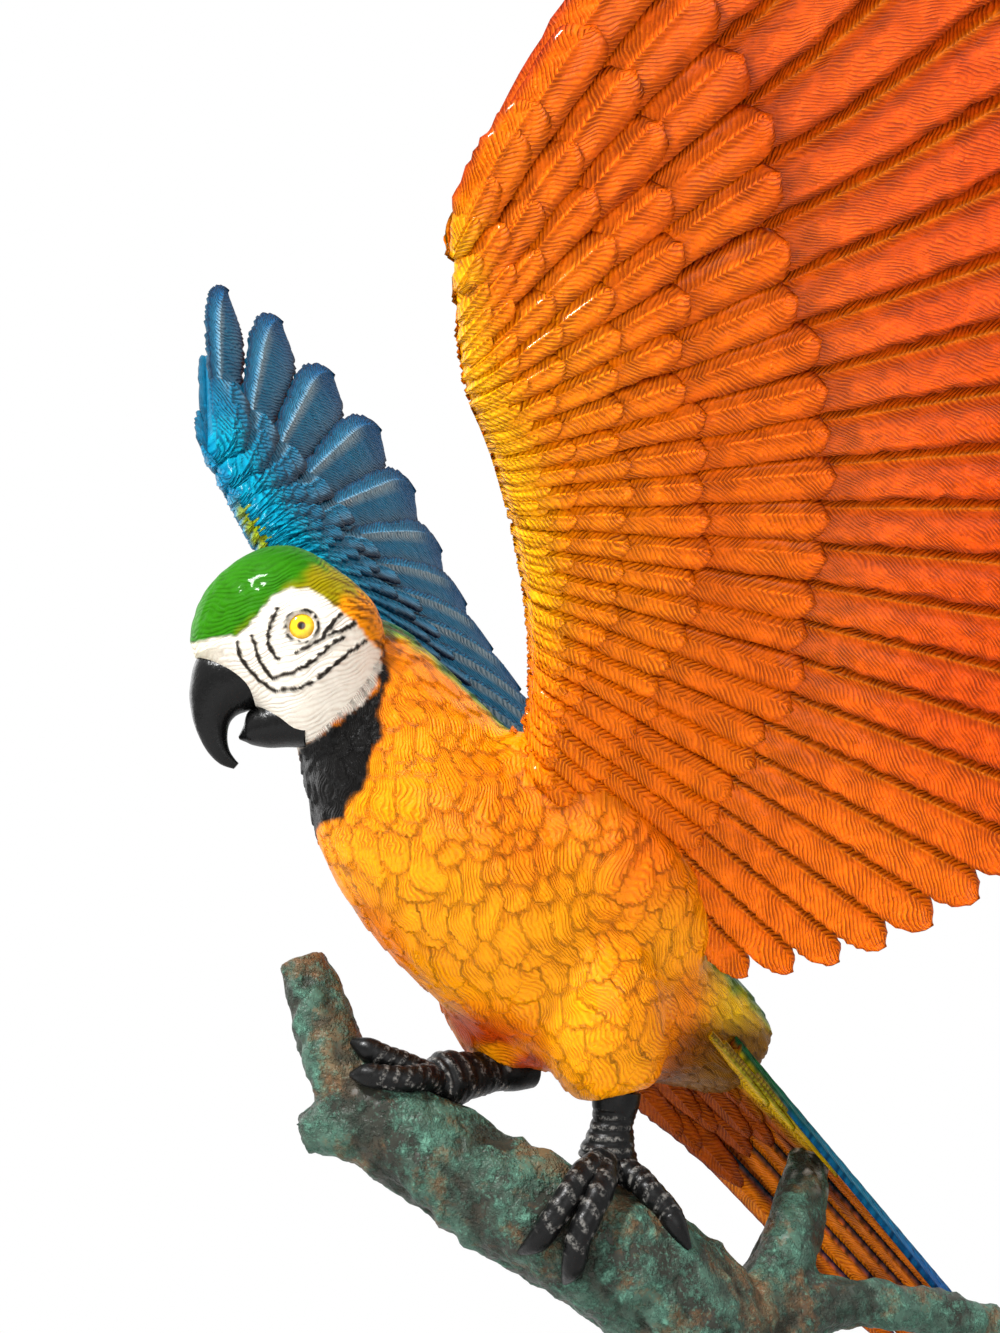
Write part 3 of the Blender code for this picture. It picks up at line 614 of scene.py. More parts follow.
@dataclass
class FeatherRow:
    """A row of overlapping feathers, each a thin closed blade with a raised shaft.

    All blades of the row are worked out at once. s runs from the root 0 to the tip 1, w across from
    -1 to 1. A blade's width is full up to its free end and then follows an ellipse.
    """

    start: Array
    tip: Array
    middle: Array
    half_width: Array
    free: Array
    place: Callable[[Array, Array, Array], Array]
    lift: Callable[[Array, Array], Array]
    thickness: float = 0.0013
    tilt: float = 0.0009
    crown: float = 0.0004
    shaft: float = 0.0005
    shaft_place: float = 0.12
    furrow: float = 0.00007
    ragged: float = 0.05
    blunt: float = 0.10
    rows: int = 40
    columns: int = 11
    up: float = 1.0
    seed: int = 1
    # Strength of the painted shade for each feather
    groove_depth: Array = field(default_factory=lambda: np.array(1.0))
    half_metre: Array = field(default_factory=lambda: np.array(0.0))
    saw_pitch: float = 0.0042
    saw_wander: float = 0.006
    furrow_pitch: float = 0.0043

    def each(self, value: Array) -> Array:
        """Set one number, or one for each feather, against the rings and the places across."""
        return np.broadcast_to(np.asarray(value, float), (len(self.start),))[:, None, None]

    def reach_at(self, s: Array) -> Array:
        """Distance from the fan centre at a share of the way along each feather."""
        return self.each(self.start) + self.each(self.tip - self.start) * s

    def across(self) -> Array:
        """Places across a blade from -1 to 1, closer together at the shaft."""
        beside_shaft = self.shaft_place + np.array([-0.13, -0.055, 0.0, 0.055, 0.13])
        plain = np.linspace(-1.0, 1.0, self.columns)
        return np.sort(np.concatenate([plain[np.abs(plain - self.shaft_place) > 0.16], beside_shaft]))

    def slots(self) -> Array:
        """Material slot round a blade: 0 over the first skin and 1 under it."""
        return np.repeat([0, 1], len(self.across()))

    def shapes(self) -> tuple[Array, Array, Array, Array]:
        """Work out the points and masks of the row.

        Returns:
            Points (feathers, rings, round, 3), share s, cross w and a mask of painted shade: in the grooves,
            under the overlapping edges, at the covered roots and at the tips.
        """
        chance = np.random.default_rng(self.seed)
        count = len(self.start)
        s = np.linspace(0.0, 1.0, self.rows)[None, :, None]
        s = 1 - (1 - s) ** 1.15
        top = self.across()
        w = np.concatenate([top, top[::-1]])[None, None, :]
        face = np.concatenate([np.ones(len(top)), -np.ones(len(top))])[None, None, :]
        tip, middle, half, free = (self.each(value) for value in
                                   (self.tip, self.middle, self.half_width, self.free))
        reach = self.reach_at(s)
        into = np.clip((reach - (tip - free)) / free, 0.0, 1.0)
        width = np.sqrt(np.maximum(1 - into ** 2.0, 0.0))
        width = np.maximum(width, self.blunt * (1 - 0.7 * smooth(into, 0.96, 1.0)))
        offset = chance.uniform(0, 1, (count, 1, 1))
        saw = np.abs(((reach / self.saw_pitch + offset
                       + 0.35 * np.sin(reach / self.saw_wander + 9 * offset)) % 1.0) - 0.3)
        edge = np.abs(w) ** 6
        width = width * (1 - self.ragged * saw * edge) * (0.35 + 0.65 * smooth(s, 0.0, 0.30))
        cross = middle + half * w * width
        from_shaft = np.abs(w - self.shaft_place)
        near = np.exp(-(from_shaft / 0.070) ** 2) * (1 - smooth(s, 0.86, 0.98))
        beside = np.exp(-((from_shaft - 0.20) / 0.08) ** 2)
        slant = reach - 0.9 * from_shaft * self.each(self.half_metre)
        turns = 2 * math.pi * slant / self.furrow_pitch + 6.28 * offset
        furrow = self.furrow * (np.sin(turns) + 0.6 * np.sin(0.37 * turns + 2.0 * w + 11 * offset))
        side = self.up * face
        height = self.lift(reach, middle) - self.tilt * w * self.up
        height = height + side * (self.thickness * 0.5 * (1 - 0.55 * into * np.abs(w) ** 2)
                                  + self.crown * (1 - w * w) + self.shaft * near + furrow * (1 - edge))
        height = np.broadcast_to(height, cross.shape)
        points = self.place(np.broadcast_to(reach, cross.shape), cross, height)
        # Painted shadow under the edge of the overlapping neighbour, and painted shade beside the shaft, at
        # the edges, at the covered root, in the furrows and at the tips.
        under_edge = smooth(w * self.up * face, 0.64, 0.96) * (1 - 0.6 * smooth(s, 0.8, 1.0))
        groove = np.clip(0.25 * beside * (1 - near) + 0.45 * np.abs(w) ** 10 + 0.85 * under_edge
                         + 0.45 * (1 - smooth(s, 0.0, 0.5)) + 0.12 * np.sin(turns) * (1 - near)
                         + 0.5 * smooth(s, 0.93, 1.0) * np.abs(w) ** 0.5, 0, 1)
        return points, s, w, np.broadcast_to(groove * self.each(self.groove_depth), cross.shape)

    def add_to(self, skin: Skinmesh, colour: Dress, slot: Array | int = 0) -> None:
        """Add the row to a mesh.

        Args:
            skin: mesh that takes the blades.
            colour: linear colour from the points, the share s and the cross place w.
            slot: material slot round the blade.
        """
        points, s, w, groove = self.shapes()
        shape = points.shape[:-1]
        chance = np.random.default_rng(self.seed + 50).uniform(0, 1, (shape[0], 1, 1))
        length = self.each(self.tip - self.start) * s
        vane = np.stack([np.broadcast_to((w - self.shaft_place) * self.each(self.half_metre), shape),
                         np.broadcast_to(length + chance, shape), np.broadcast_to(chance, shape)], -1)
        skin.add_rings(points, colour(points, np.broadcast_to(s, shape), np.broadcast_to(w, shape)),
                       vane, groove, slot)


# Wings

@dataclass
class Wing:
    """One wing: arm, flight feathers, and rows of coverts on both of its skins.

    It is worked out flat, with its fan centre at the origin and its underside facing +Z, in polar
    places (distance, angle), and then set at its shoulder.
    """

    side: Side
    chord: Array
    span: Array
    shoulder: Array = field(default_factory=lambda: np.array([0.0388, -0.0002, 0.3476]))
    fan_to_shoulder: Array = field(default_factory=lambda: np.array([0.0799, -0.0663]))
    feathers: int = 24
    fan_top: float = math.radians(56)
    fan_bottom: float = math.radians(-46.6)
    crowding: float = 0.32
    camber: float = 0.0150
    reach: float = 0.2974
    primary_extra: float = 0.0560
    primary_peak: float = 0.10
    primary_spread: float = 0.28
    outermost_shortfall: float = 0.0300
    tertial_loss: float = 0.0820
    finger: float = 0.0950
    tip: float = 0.0140
    hand_start: float = math.radians(18)
    hand_span: float = math.radians(38)
    hand_bulge: float = math.radians(2.2)
    bulge_distance: float = 0.1400
    bulge_spread: float = 0.0700
    camber_start: float = 0.1500
    edge_angle: float = math.radians(25)
    edge_to_shoulder: float = math.radians(65)
    edge_to_hand: float = math.radians(31)
    edge_nearest: float = 0.0650
    edge_at_shoulder: float = 0.0330
    edge_at_hand: float = 0.0280
    arm_skin: float = 0.0010
    arm_crest: float = 0.0078
    arm_swell: float = 0.0060
    arm_fingers: float = 0.0025
    arm_round: float = 0.0095
    arm_end: float = 0.1650
    arm_end_at_hand: float = 0.030
    arm_past_hand: float = math.radians(3.1)
    arm_past_body: float = math.radians(3)
    arm_corner: float = 0.014
    flight_start: float = 0.100
    flight_start_at_hand: float = 0.02
    covert_least: float = 0.012
    covert_odd: float = 0.0025
    covert_gap: float = 0.0002
    flank_start: float = math.radians(14)
    flank_end: float = math.radians(38)
    overlap: float = 1.16
    # Rows of coverts from the outermost: feathers, start, tip, how much longer over the hand, lift
    under_rows: tuple = ((24, 0.106, 0.1717, 0.034, 0.0026), (24, 0.084, 0.1310, 0.042, 0.0030),
                         (24, 0.070, 0.1070, 0.040, 0.0028), (24, 0.062, 0.0900, 0.030, 0.0024),
                         (30, 0.058, 0.0790, 0.016, 0.0018), (36, 0.050, 0.0700, 0.004, 0.0012))
    over_rows: tuple = ((24, 0.106, 0.1680, 0.000, 0.0026), (24, 0.084, 0.1400, 0.000, 0.0028),
                        (26, 0.070, 0.1200, 0.002, 0.0026), (28, 0.062, 0.1010, 0.004, 0.0022),
                        (30, 0.058, 0.0860, 0.004, 0.0018), (34, 0.050, 0.0740, 0.002, 0.0012))

    def fan_angle(self, index: Array, count: int) -> Array:
        """Direction of a feather among count, crowded towards the body."""
        t = index / (count - 1)
        share = (1 + self.crowding) * t - self.crowding * t * t
        return self.fan_top + (self.fan_bottom - self.fan_top) * share

    def flight_reach(self, index: Array) -> Array:
        """Distance of a flight feather's tip: a hump over the primaries, a fall to the body."""
        t = index / (self.feathers - 1)
        off_peak = np.minimum(np.abs(t - self.primary_peak) / self.primary_spread, 1.0)
        hump = self.primary_extra * np.cos(off_peak * math.pi / 2) ** 2
        fall = self.tertial_loss * (np.maximum(t - 0.4, 0.0) / 0.6) ** 1.6
        return self.reach + hump - fall - np.where(index == 0, self.outermost_shortfall, 0.0)

    def tip_length(self, index: Array) -> Array:
        """Length of the free end, long on the outer fingers."""
        t = index / (self.feathers - 1)
        return self.tip + (self.finger - self.tip) * np.maximum(1 - t / 0.42, 0.0) ** 1.1

    def leading_edge(self, angle: Array) -> Array:
        """Distance of the leading edge: nearest at one angle, further at shoulder and hand."""
        to_shoulder = np.maximum(self.edge_angle - angle, 0.0) / self.edge_to_shoulder
        to_hand = np.maximum(angle - self.edge_angle, 0.0) / self.edge_to_hand
        return (self.edge_nearest + self.edge_at_shoulder * to_shoulder ** 2.5
                + self.edge_at_hand * to_hand ** 2.5)

    def hand_share(self, angle: Array) -> Array:
        """How far the coverts have lengthened over the hand, 0 to 1."""
        return smooth((angle - self.hand_start) / self.hand_span)

    def calm(self, angle: Array) -> Array:
        """Strength of the painted shade in the grooves: full over the wing, and little where it meets the
        flank.
        """
        return 1 - 0.65 * smooth(-angle, self.flank_start, self.flank_end)

    def arm_height(self, distance: Array, angle: Array) -> Array:
        """Half thickness of the arm: a quick round rise from the leading edge, then a long fall."""
        share = (self.fan_top - angle) / (self.fan_top - self.fan_bottom)
        crest = self.arm_crest + self.arm_swell * share ** 2
        crest = crest - self.arm_fingers * np.maximum(1 - share * 4, 0.0)
        edge = self.leading_edge(np.minimum(angle, self.fan_top))
        rise = np.sqrt(np.clip(1 - (1 - np.clip((distance - edge) / self.arm_round, 0, 1)) ** 2, 0, 1))
        end = self.arm_end + self.arm_end_at_hand * self.hand_share(angle)
        fall = np.clip((end - distance) / (end - edge - self.arm_round), 0.0, 1.0)
        rounded = np.sqrt(np.clip(1 - (np.maximum(angle - self.fan_top, 0) / math.radians(3.2)) ** 2, 0, 1))
        return rise * rounded * (self.arm_skin + (crest - self.arm_skin) * fall ** 0.9)

    def flat_plain(self, along_chord: Array, along_span: Array, height: Array) -> Array:
        """Turn flat places (chord, span, height) into world places."""
        chord = self.chord / np.linalg.norm(self.chord)
        span = self.span / np.linalg.norm(self.span)
        under = np.cross(chord, span) * self.side.value
        shoulder = self.shoulder * np.array([self.side.value, 1, 1])
        centre = shoulder - chord * self.fan_to_shoulder[0] - span * self.fan_to_shoulder[1]
        return (centre + chord * along_chord[..., None] + span * along_span[..., None]
                + under * height[..., None])

    def flat(self, distance: Array, angle: Array, height: Array) -> Array:
        """Turn polar places into world places, with the camber and the bulge of the hand."""
        near_hand = np.clip((angle - self.fan_top + self.hand_span) / self.hand_span, 0.0, None)
        swell = np.maximum(1 - ((distance - self.bulge_distance) / self.bulge_spread) ** 2, 0.0)
        bend = np.maximum(distance - self.camber_start, 0.0) / self.camber_start
        height = height + self.camber * bend * bend * smooth((math.radians(40) - angle) / math.radians(25))
        angle = angle + self.hand_bulge * swell * near_hand
        return self.flat_plain(distance * np.cos(angle), distance * np.sin(angle), height)

    def colour_under(self, distance: Array, angle: Array, s: Array, w: Array) -> Array:
        """Underside paint: yellow leading edge, golden coverts, deep orange flight feathers.

        Args:
            distance: distance from the fan centre.
            angle: direction from the fan centre.
            s: share of the way along the feather.
            w: place across the feather.

        Returns:
            Linear colours.
        """
        out = distance - self.leading_edge(angle)
        tone = mix(Tint.YOLK, Tint.COVERT_GOLD, smooth(out, 0.002, 0.022))
        tone = mix(tone, Tint.COVERT_ORANGE, smooth(out, 0.022, 0.070))
        tone = mix(tone, Tint.FLIGHT_ORANGE, smooth(out, 0.075, 0.145))
        tone = mix(tone, Tint.FLIGHT_RED, 0.6 * smooth(out, 0.13, 0.20) * (1 - smooth(angle, 0.2, 0.9)))
        tone = mix(tone, Tint.HAND_ORANGE, 0.5 * smooth(angle, 0.5, 0.85) * smooth(out, 0.0, 0.02))
        low = smooth(-angle, self.flank_start, self.flank_end)
        tone = mix(tone, Tint.FLANK_ORANGE, 0.85 * low)
        # Painted highlight in lighter orange along the raised shaft.
        on_shaft = np.exp(-((w - 0.45) / 0.07) ** 2) * smooth(s, 0.30, 0.45) * (1 - smooth(s, 0.80, 0.95))
        tone = mix(tone, Tint.SHAFT_ORANGE, 0.75 * on_shaft)
        if self.side is Side.LEFT:
            return tone
        rim = np.maximum(1 - smooth(out, 0.006, 0.014), smooth(angle, math.radians(49), math.radians(53)))
        rim = np.maximum(rim, smooth(np.abs(w), 0.80, 0.95))
        tone = mix(tone, Tint.UNDER_RIM, rim)
        return mix(tone, Tint.RIM_LIME, (1 - smooth(out, 0.001, 0.004)) * (1 - smooth(angle, 0.75, 0.85)))

    def colour_over(self, distance: Array, angle: Array, s: Array, w: Array) -> Array:
        """Upper side paint: turquoise leading edge, mid blue, navy tips, and grey on the trailing vanes.

        Args:
            distance: distance from the fan centre.
            angle: direction from the fan centre.
            s: share of the way along the feather.
            w: place across the feather.

        Returns:
            Linear colours.
        """
        out = distance - self.leading_edge(angle)
        tone = mix(Tint.TURQUOISE, Tint.COVERT_BLUE, smooth(out, 0.006, 0.040))
        tone = mix(tone, Tint.MID_BLUE, smooth(out, 0.050, 0.130))
        tone = mix(tone, Tint.VANE_GREY, 0.5 * smooth(-w, 0.1, 0.7) * smooth(out, 0.03, 0.08))
        tone = mix(tone, Tint.TIP_BLUE, 0.8 * smooth(s, 0.62, 0.96))
        beside_shaft = np.exp(-((w - 0.38) / 0.13) ** 2) * smooth(out, 0.04, 0.08) * (1 - smooth(s, 0.7, 0.9))
        tone = mix(tone, Tint.SHAFT_PALE, 0.85 * beside_shaft)
        # Navy paint at the feather edges, darkened further as painted shadow where the next feather overlaps.
        tone = mix(tone, Tint.NAVY, 0.9 * smooth(np.abs(w), 0.74, 0.90) * smooth(out, 0.04, 0.08))
        if self.side is Side.RIGHT:
            return tone
        tone = mix(Tint.RIM_GREEN, tone, smooth(out, 0.004, 0.010))
        thumb = smooth(angle, 0.93, 0.97) * (1 - smooth(out, 0.03, 0.06))
        return mix(tone, Tint.THUMB_ORANGE, np.maximum(1 - smooth(out, 0.001, 0.004), thumb))

    def row(self, skin_side: Skin, count: int, first: float, last: float, hand_extra: float,
            lift: float, seed: int) -> FeatherRow:
        """Describe one row of coverts.

        Args:
            skin_side: side of the wing.
            count: feathers in the row.
            first: distance where the feathers start.
            last: distance of the tips.
            hand_extra: how much further the tips reach over the hand.
            lift: height of the tips above the arm.
            seed: number that fixes small irregularities.

        Returns:
            The row.
        """
        index = np.arange(count, dtype=float)
        angle = self.fan_angle(index, count)
        chance = np.random.default_rng(seed)
        edge = self.leading_edge(angle)
        longer = hand_extra * self.hand_share(angle)
        odd = chance.uniform(-self.covert_odd, self.covert_odd, count)
        tip = np.maximum(last, edge + self.covert_least) + longer + odd
        angle = angle + step_of(angle) * chance.uniform(-0.10, 0.10, count)
        start = np.maximum(first, edge - 0.001) + longer * 0.20
        step = step_of(angle)
        half_width = step * 0.5 * self.overlap
        free = np.minimum(0.45 * (tip - start), step * tip * 0.62)
        # Painted shade in the grooves: weaker near the flank, and half on the rows that lift least.
        depth = self.calm(angle) * (0.5 if lift < 0.0020 else 1.0)

        def height(reach: Array, middle: Array) -> Array:
            share = (reach - start[:, None, None]) / (tip - start)[:, None, None]
            body = self.arm_height(reach, middle)
            return skin_side.value * (body + self.covert_gap + lift * share ** 1.2)

        return FeatherRow(start, tip, angle, half_width, free, self.flat, height, thickness=0.0011,
                          tilt=0.0014, crown=0.0009, shaft=0.0006, ragged=0.16, rows=17, columns=6,
                          up=skin_side.value, seed=seed, blunt=0.15, half_metre=half_width * tip,
                          groove_depth=depth)

    def build(self, under: bpy.types.Material, over: bpy.types.Material) -> None:
        """Build flight feathers, arm and the coverts of both skins as four pieces that stand for the wing."""
        name = self.side.name.lower()
        index = np.arange(self.feathers, dtype=float)
        angle = self.fan_angle(index, self.feathers)
        tips = self.flight_reach(index)
        start = self.flight_start + self.flight_start_at_hand * self.hand_share(angle)
        half_width = step_of(angle) * 0.5 * self.overlap

        def layer(reach: Array, middle: Array) -> Array:
            return np.zeros_like(reach)

        flight = FeatherRow(start, tips, angle, half_width, self.tip_length(index), self.flat, layer,
                            thickness=0.0020, tilt=0.0021, crown=0.0004, shaft=0.0016, shaft_place=0.45,
                            rows=66, columns=10, seed=4 + self.side.value, ragged=0.20, furrow=0.00010,
                            half_metre=half_width * tips, groove_depth=self.calm(angle))
        blades = Skinmesh()

        def both(points: Array, s: Array, w: Array) -> Array:
            distance = flight.reach_at(s)
            middle = np.broadcast_to(flight.each(angle), s.shape)
            is_over = np.broadcast_to(flight.slots() == 1, s.shape)
            return np.where(is_over[..., None], self.colour_over(distance, middle, s, w),
                            self.colour_under(distance, middle, s, w))

        flight.add_to(blades, both, flight.slots())
        report(blades.build(f"{name}_flight_feathers", [under, over]), f"{name}_wing")

        arm = Skinmesh()
        self._add_arm(arm)
        report(arm.build(f"{name}_arm", [under, over]), f"{name}_wing")
        for skin_side in Skin:
            coverts = Skinmesh()
            is_under = skin_side is Skin.UNDER
            tone = self.colour_under if is_under else self.colour_over
            rows = self.under_rows if is_under else self.over_rows
            for number, (count, first, last, extra, lift) in enumerate(rows):
                row = self.row(skin_side, count, first, last, extra, lift, 20 + number)

                def dress(points: Array, s: Array, w: Array) -> Array:
                    middle = np.broadcast_to(row.each(row.middle), s.shape)
                    return tone(row.reach_at(s), middle, s * 0.6, w)

                row.add_to(coverts, dress)
            item = coverts.build(f"{name}_coverts_{skin_side.name.lower()}", [under if is_under else over])
            report(item, f"{name}_wing")

    def _add_arm(self, skin: Skinmesh) -> None:
        """Add the fleshy arm: sections across the wing, over the underside and back over the top."""
        sections, columns = 80, 22
        angle = np.linspace(self.fan_top + self.arm_past_hand, self.fan_bottom - self.arm_past_body, sections)
        angle = angle[None, :, None]
        edge = self.leading_edge(np.minimum(angle, self.fan_top))
        edge = edge + self.arm_corner * np.maximum((angle - math.radians(54)) / math.radians(5.1), 0) ** 2
        end = self.arm_end - 0.001 + self.arm_end_at_hand * self.hand_share(angle)
        across = np.linspace(0.0, 1.0, columns) ** 1.6
        share = np.concatenate([across, across[::-1]])[None, None, :]
        face = np.repeat([1.0, -1.0], columns)[None, None, :]
        distance = edge + (end - edge) * share
        height = face * (self.arm_height(distance, angle) + 0.0001)
        full = np.broadcast_to(angle, distance.shape)
        points = self.flat(distance, full, height)
        none = np.zeros(distance.shape)
        colour = np.where(np.broadcast_to(face[..., None] > 0, (*distance.shape, 1)),
                          self.colour_under(distance, full, none, none),
                          self.colour_over(distance, full, none, none))
        vane = np.stack([none, distance, none], -1)
        skin.add_rings(points, colour, vane, none + 0.2, np.repeat([0, 1], columns))


# Tubes

def tube_rings(stations: Array, count: int, sides: int) -> tuple[Array, Array, Array]:
    """Sweep a circle along a curve through stations (x, y, z, radius).

    Args:
        stations: places with radii.
        count: rings along the curve.
        sides: places round a ring.

    Returns:
        Centre and radius rows, outward directions (rings, sides, 3), and turn round the ring.
    """
    line = curve(stations, count)
    along = np.gradient(line[:, :3], axis=0)
    along /= np.linalg.norm(along, axis=1)[:, None]
    upward = np.array([0.35, -0.94, 0.9])
    upward = upward - along * (along @ upward)[:, None]
    upward /= np.linalg.norm(upward, axis=1)[:, None]
    sideways = np.cross(along, upward)
    turn = np.linspace(0, 2 * math.pi, sides, endpoint=False)
    outward = upward[:, None] * np.cos(turn)[:, None] + sideways[:, None] * np.sin(turn)[:, None]
    return line, outward, turn


def add_tube(skin: Skinmesh, stations: Array, count: int, sides: int,
             relief: Callable[[Array, Array], Array] | None = None) -> None:
    """Add a round bar with closed ends to a mesh; relief gives a change of radius from share and turn."""
    line, outward, turn = tube_rings(stations, count, sides)
    share = np.linspace(0, 1, count)[:, None]
    radius = line[:, 3:4] * np.ones(sides)
    change = relief(share, turn[None, :]) if relief else np.zeros((count, sides))
    points = line[:, None, :3] + outward * (radius * (1 + change))[..., None]
    groove = np.zeros((count, sides))
    if relief:
        groove = np.clip(0.5 - change / (np.abs(change).max() + 1e-9) * 0.5, 0, 1)
    skin.add_rings(points[None], np.full(3, 0.5), np.zeros(3), groove[None])


def blended(name: str, skin: Skinmesh, voxel: float, passes: int) -> tuple[Array, Array, Array]:
    """Melt overlapping closed shapes into one even skin.

    Args:
        name: name of the working object.
        skin: shapes to melt.
        voxel: size of the new mesh's faces.
        passes: smoothing passes over the joints.

    Returns:
        Points without the origin shift, quad faces, and normals.
    """
    rough = skin.build(name, [])
    remesh = rough.modifiers.new("melt", "REMESH")
    remesh.mode = "VOXEL"
    remesh.voxel_size = voxel
    relax = rough.modifiers.new("relax", "SMOOTH")
    relax.iterations = passes
    relax.factor = 0.5
    graph = bpy.context.evaluated_depsgraph_get()
    mesh = bpy.data.meshes.new_from_object(rough.evaluated_get(graph))
    bpy.data.objects.remove(rough, do_unlink=True)
    points = np.empty(len(mesh.vertices) * 3, np.float32)
    mesh.vertices.foreach_get("co", points)
    normals = np.empty(len(mesh.vertices) * 3, np.float32)
    mesh.vertex_normals.foreach_get("vector", normals)
    faces = np.empty(len(mesh.loops), np.int32)
    mesh.loops.foreach_get("vertex_index", faces)
    bpy.data.meshes.remove(mesh)
    places = points.reshape(-1, 3).astype(float) - ORIGIN_SHIFT
    return places, faces.reshape(-1, 4), normals.reshape(-1, 3).astype(float)


@dataclass
class Branch:
    """Main limb down to its flared foot, with stub, twig and knobs, melted into one casting.

    Each bar is a line of places with radii (x, y, z, radius).
    """

    limb: tuple = ((-0.0408, -0.0457, 0.2730, 0.0085), (-0.0380, -0.0410, 0.2560, 0.0105),
                   (-0.0345, -0.0351, 0.2400, 0.0110), (-0.0255, -0.0205, 0.2195, 0.0155),
                   (-0.0153, 0.0005, 0.2050, 0.0182), (0.0000, 0.0237, 0.1900, 0.0196),
                   (0.0119, 0.0440, 0.1780, 0.0208), (0.0153, 0.0695, 0.1590, 0.0240),
                   (0.0150, 0.0850, 0.1240, 0.0265), (0.0110, 0.0860, 0.0850, 0.0280),
                   (0.0060, 0.0780, 0.0450, 0.0320), (0.0040, 0.0730, 0.0170, 0.0420),
                   (0.0030, 0.0720, 0.0000, 0.0600))
    stub: tuple = ((0.0160, 0.0790, 0.1500, 0.0190), (0.0204, 0.0963, 0.1619, 0.0150),
                   (0.0190, 0.1120, 0.1860, 0.0100), (0.0150, 0.1270, 0.2130, 0.0080))
    twig: tuple = ((0.0180, 0.0900, 0.1540, 0.0150), (0.0306, 0.1182, 0.1640, 0.0095),
                   (0.0374, 0.1519, 0.1610, 0.0075), (0.0442, 0.2112, 0.1510, 0.0060))
    side_knob: tuple = ((-0.0300, -0.0260, 0.2230, 0.0140), (-0.0440, -0.0420, 0.2160, 0.0075))
    top_knob: tuple = ((-0.0060, 0.0120, 0.2000, 0.0110), (-0.0055, 0.0130, 0.2165, 0.0080))
    voxel: float = 0.0016
    relief: float = 0.0011
    fold_pitch: float = 0.022
    bark_pitch: float = 0.009
    crack_pitch: float = 0.006

    def build(self, material: bpy.types.Material) -> None:
        """Melt the bars together and carve the bark."""
        bars = Skinmesh()
        for line, count in ((self.limb, 120), (self.stub, 40), (self.twig, 50), (self.side_knob, 12),
                            (self.top_knob, 12)):
            add_tube(bars, np.array(line), count, 32)
        points, faces, normals = blended("branch_bars", bars, self.voxel, 6)
        folds = ripple(points * np.array([1, 1, 0.45]), self.fold_pitch, 3)
        cracks = np.abs(ripple(points * np.array([1, 0.6, 0.6]), self.crack_pitch, 6))
        bark = 0.6 * ripple(points, self.bark_pitch, 5) - 0.7 * cracks
        height = self.relief * (folds + 0.7 * bark)
        above_floor = smooth(points[:, 2], 0.0, 0.008)
        points = points + normals * (height * above_floor)[:, None]
        points[:, 2] = np.maximum(points[:, 2], 0.0)
        skin = Skinmesh()
        groove = smooth(-height / self.relief, 0.3, 1.6)
        to_end = np.linalg.norm(points - np.array(self.stub[-1][:3]), axis=1)
        chips = (1 - smooth(to_end, 0.006, 0.020)) * smooth(ripple(points, 0.0045, 8), 0.35, 0.8)
        skin.add_faces(points, faces, np.stack([chips] * 3, -1), points * 0, groove)
        report(skin.build("weathered_branch", [material]), "branch")


# Body

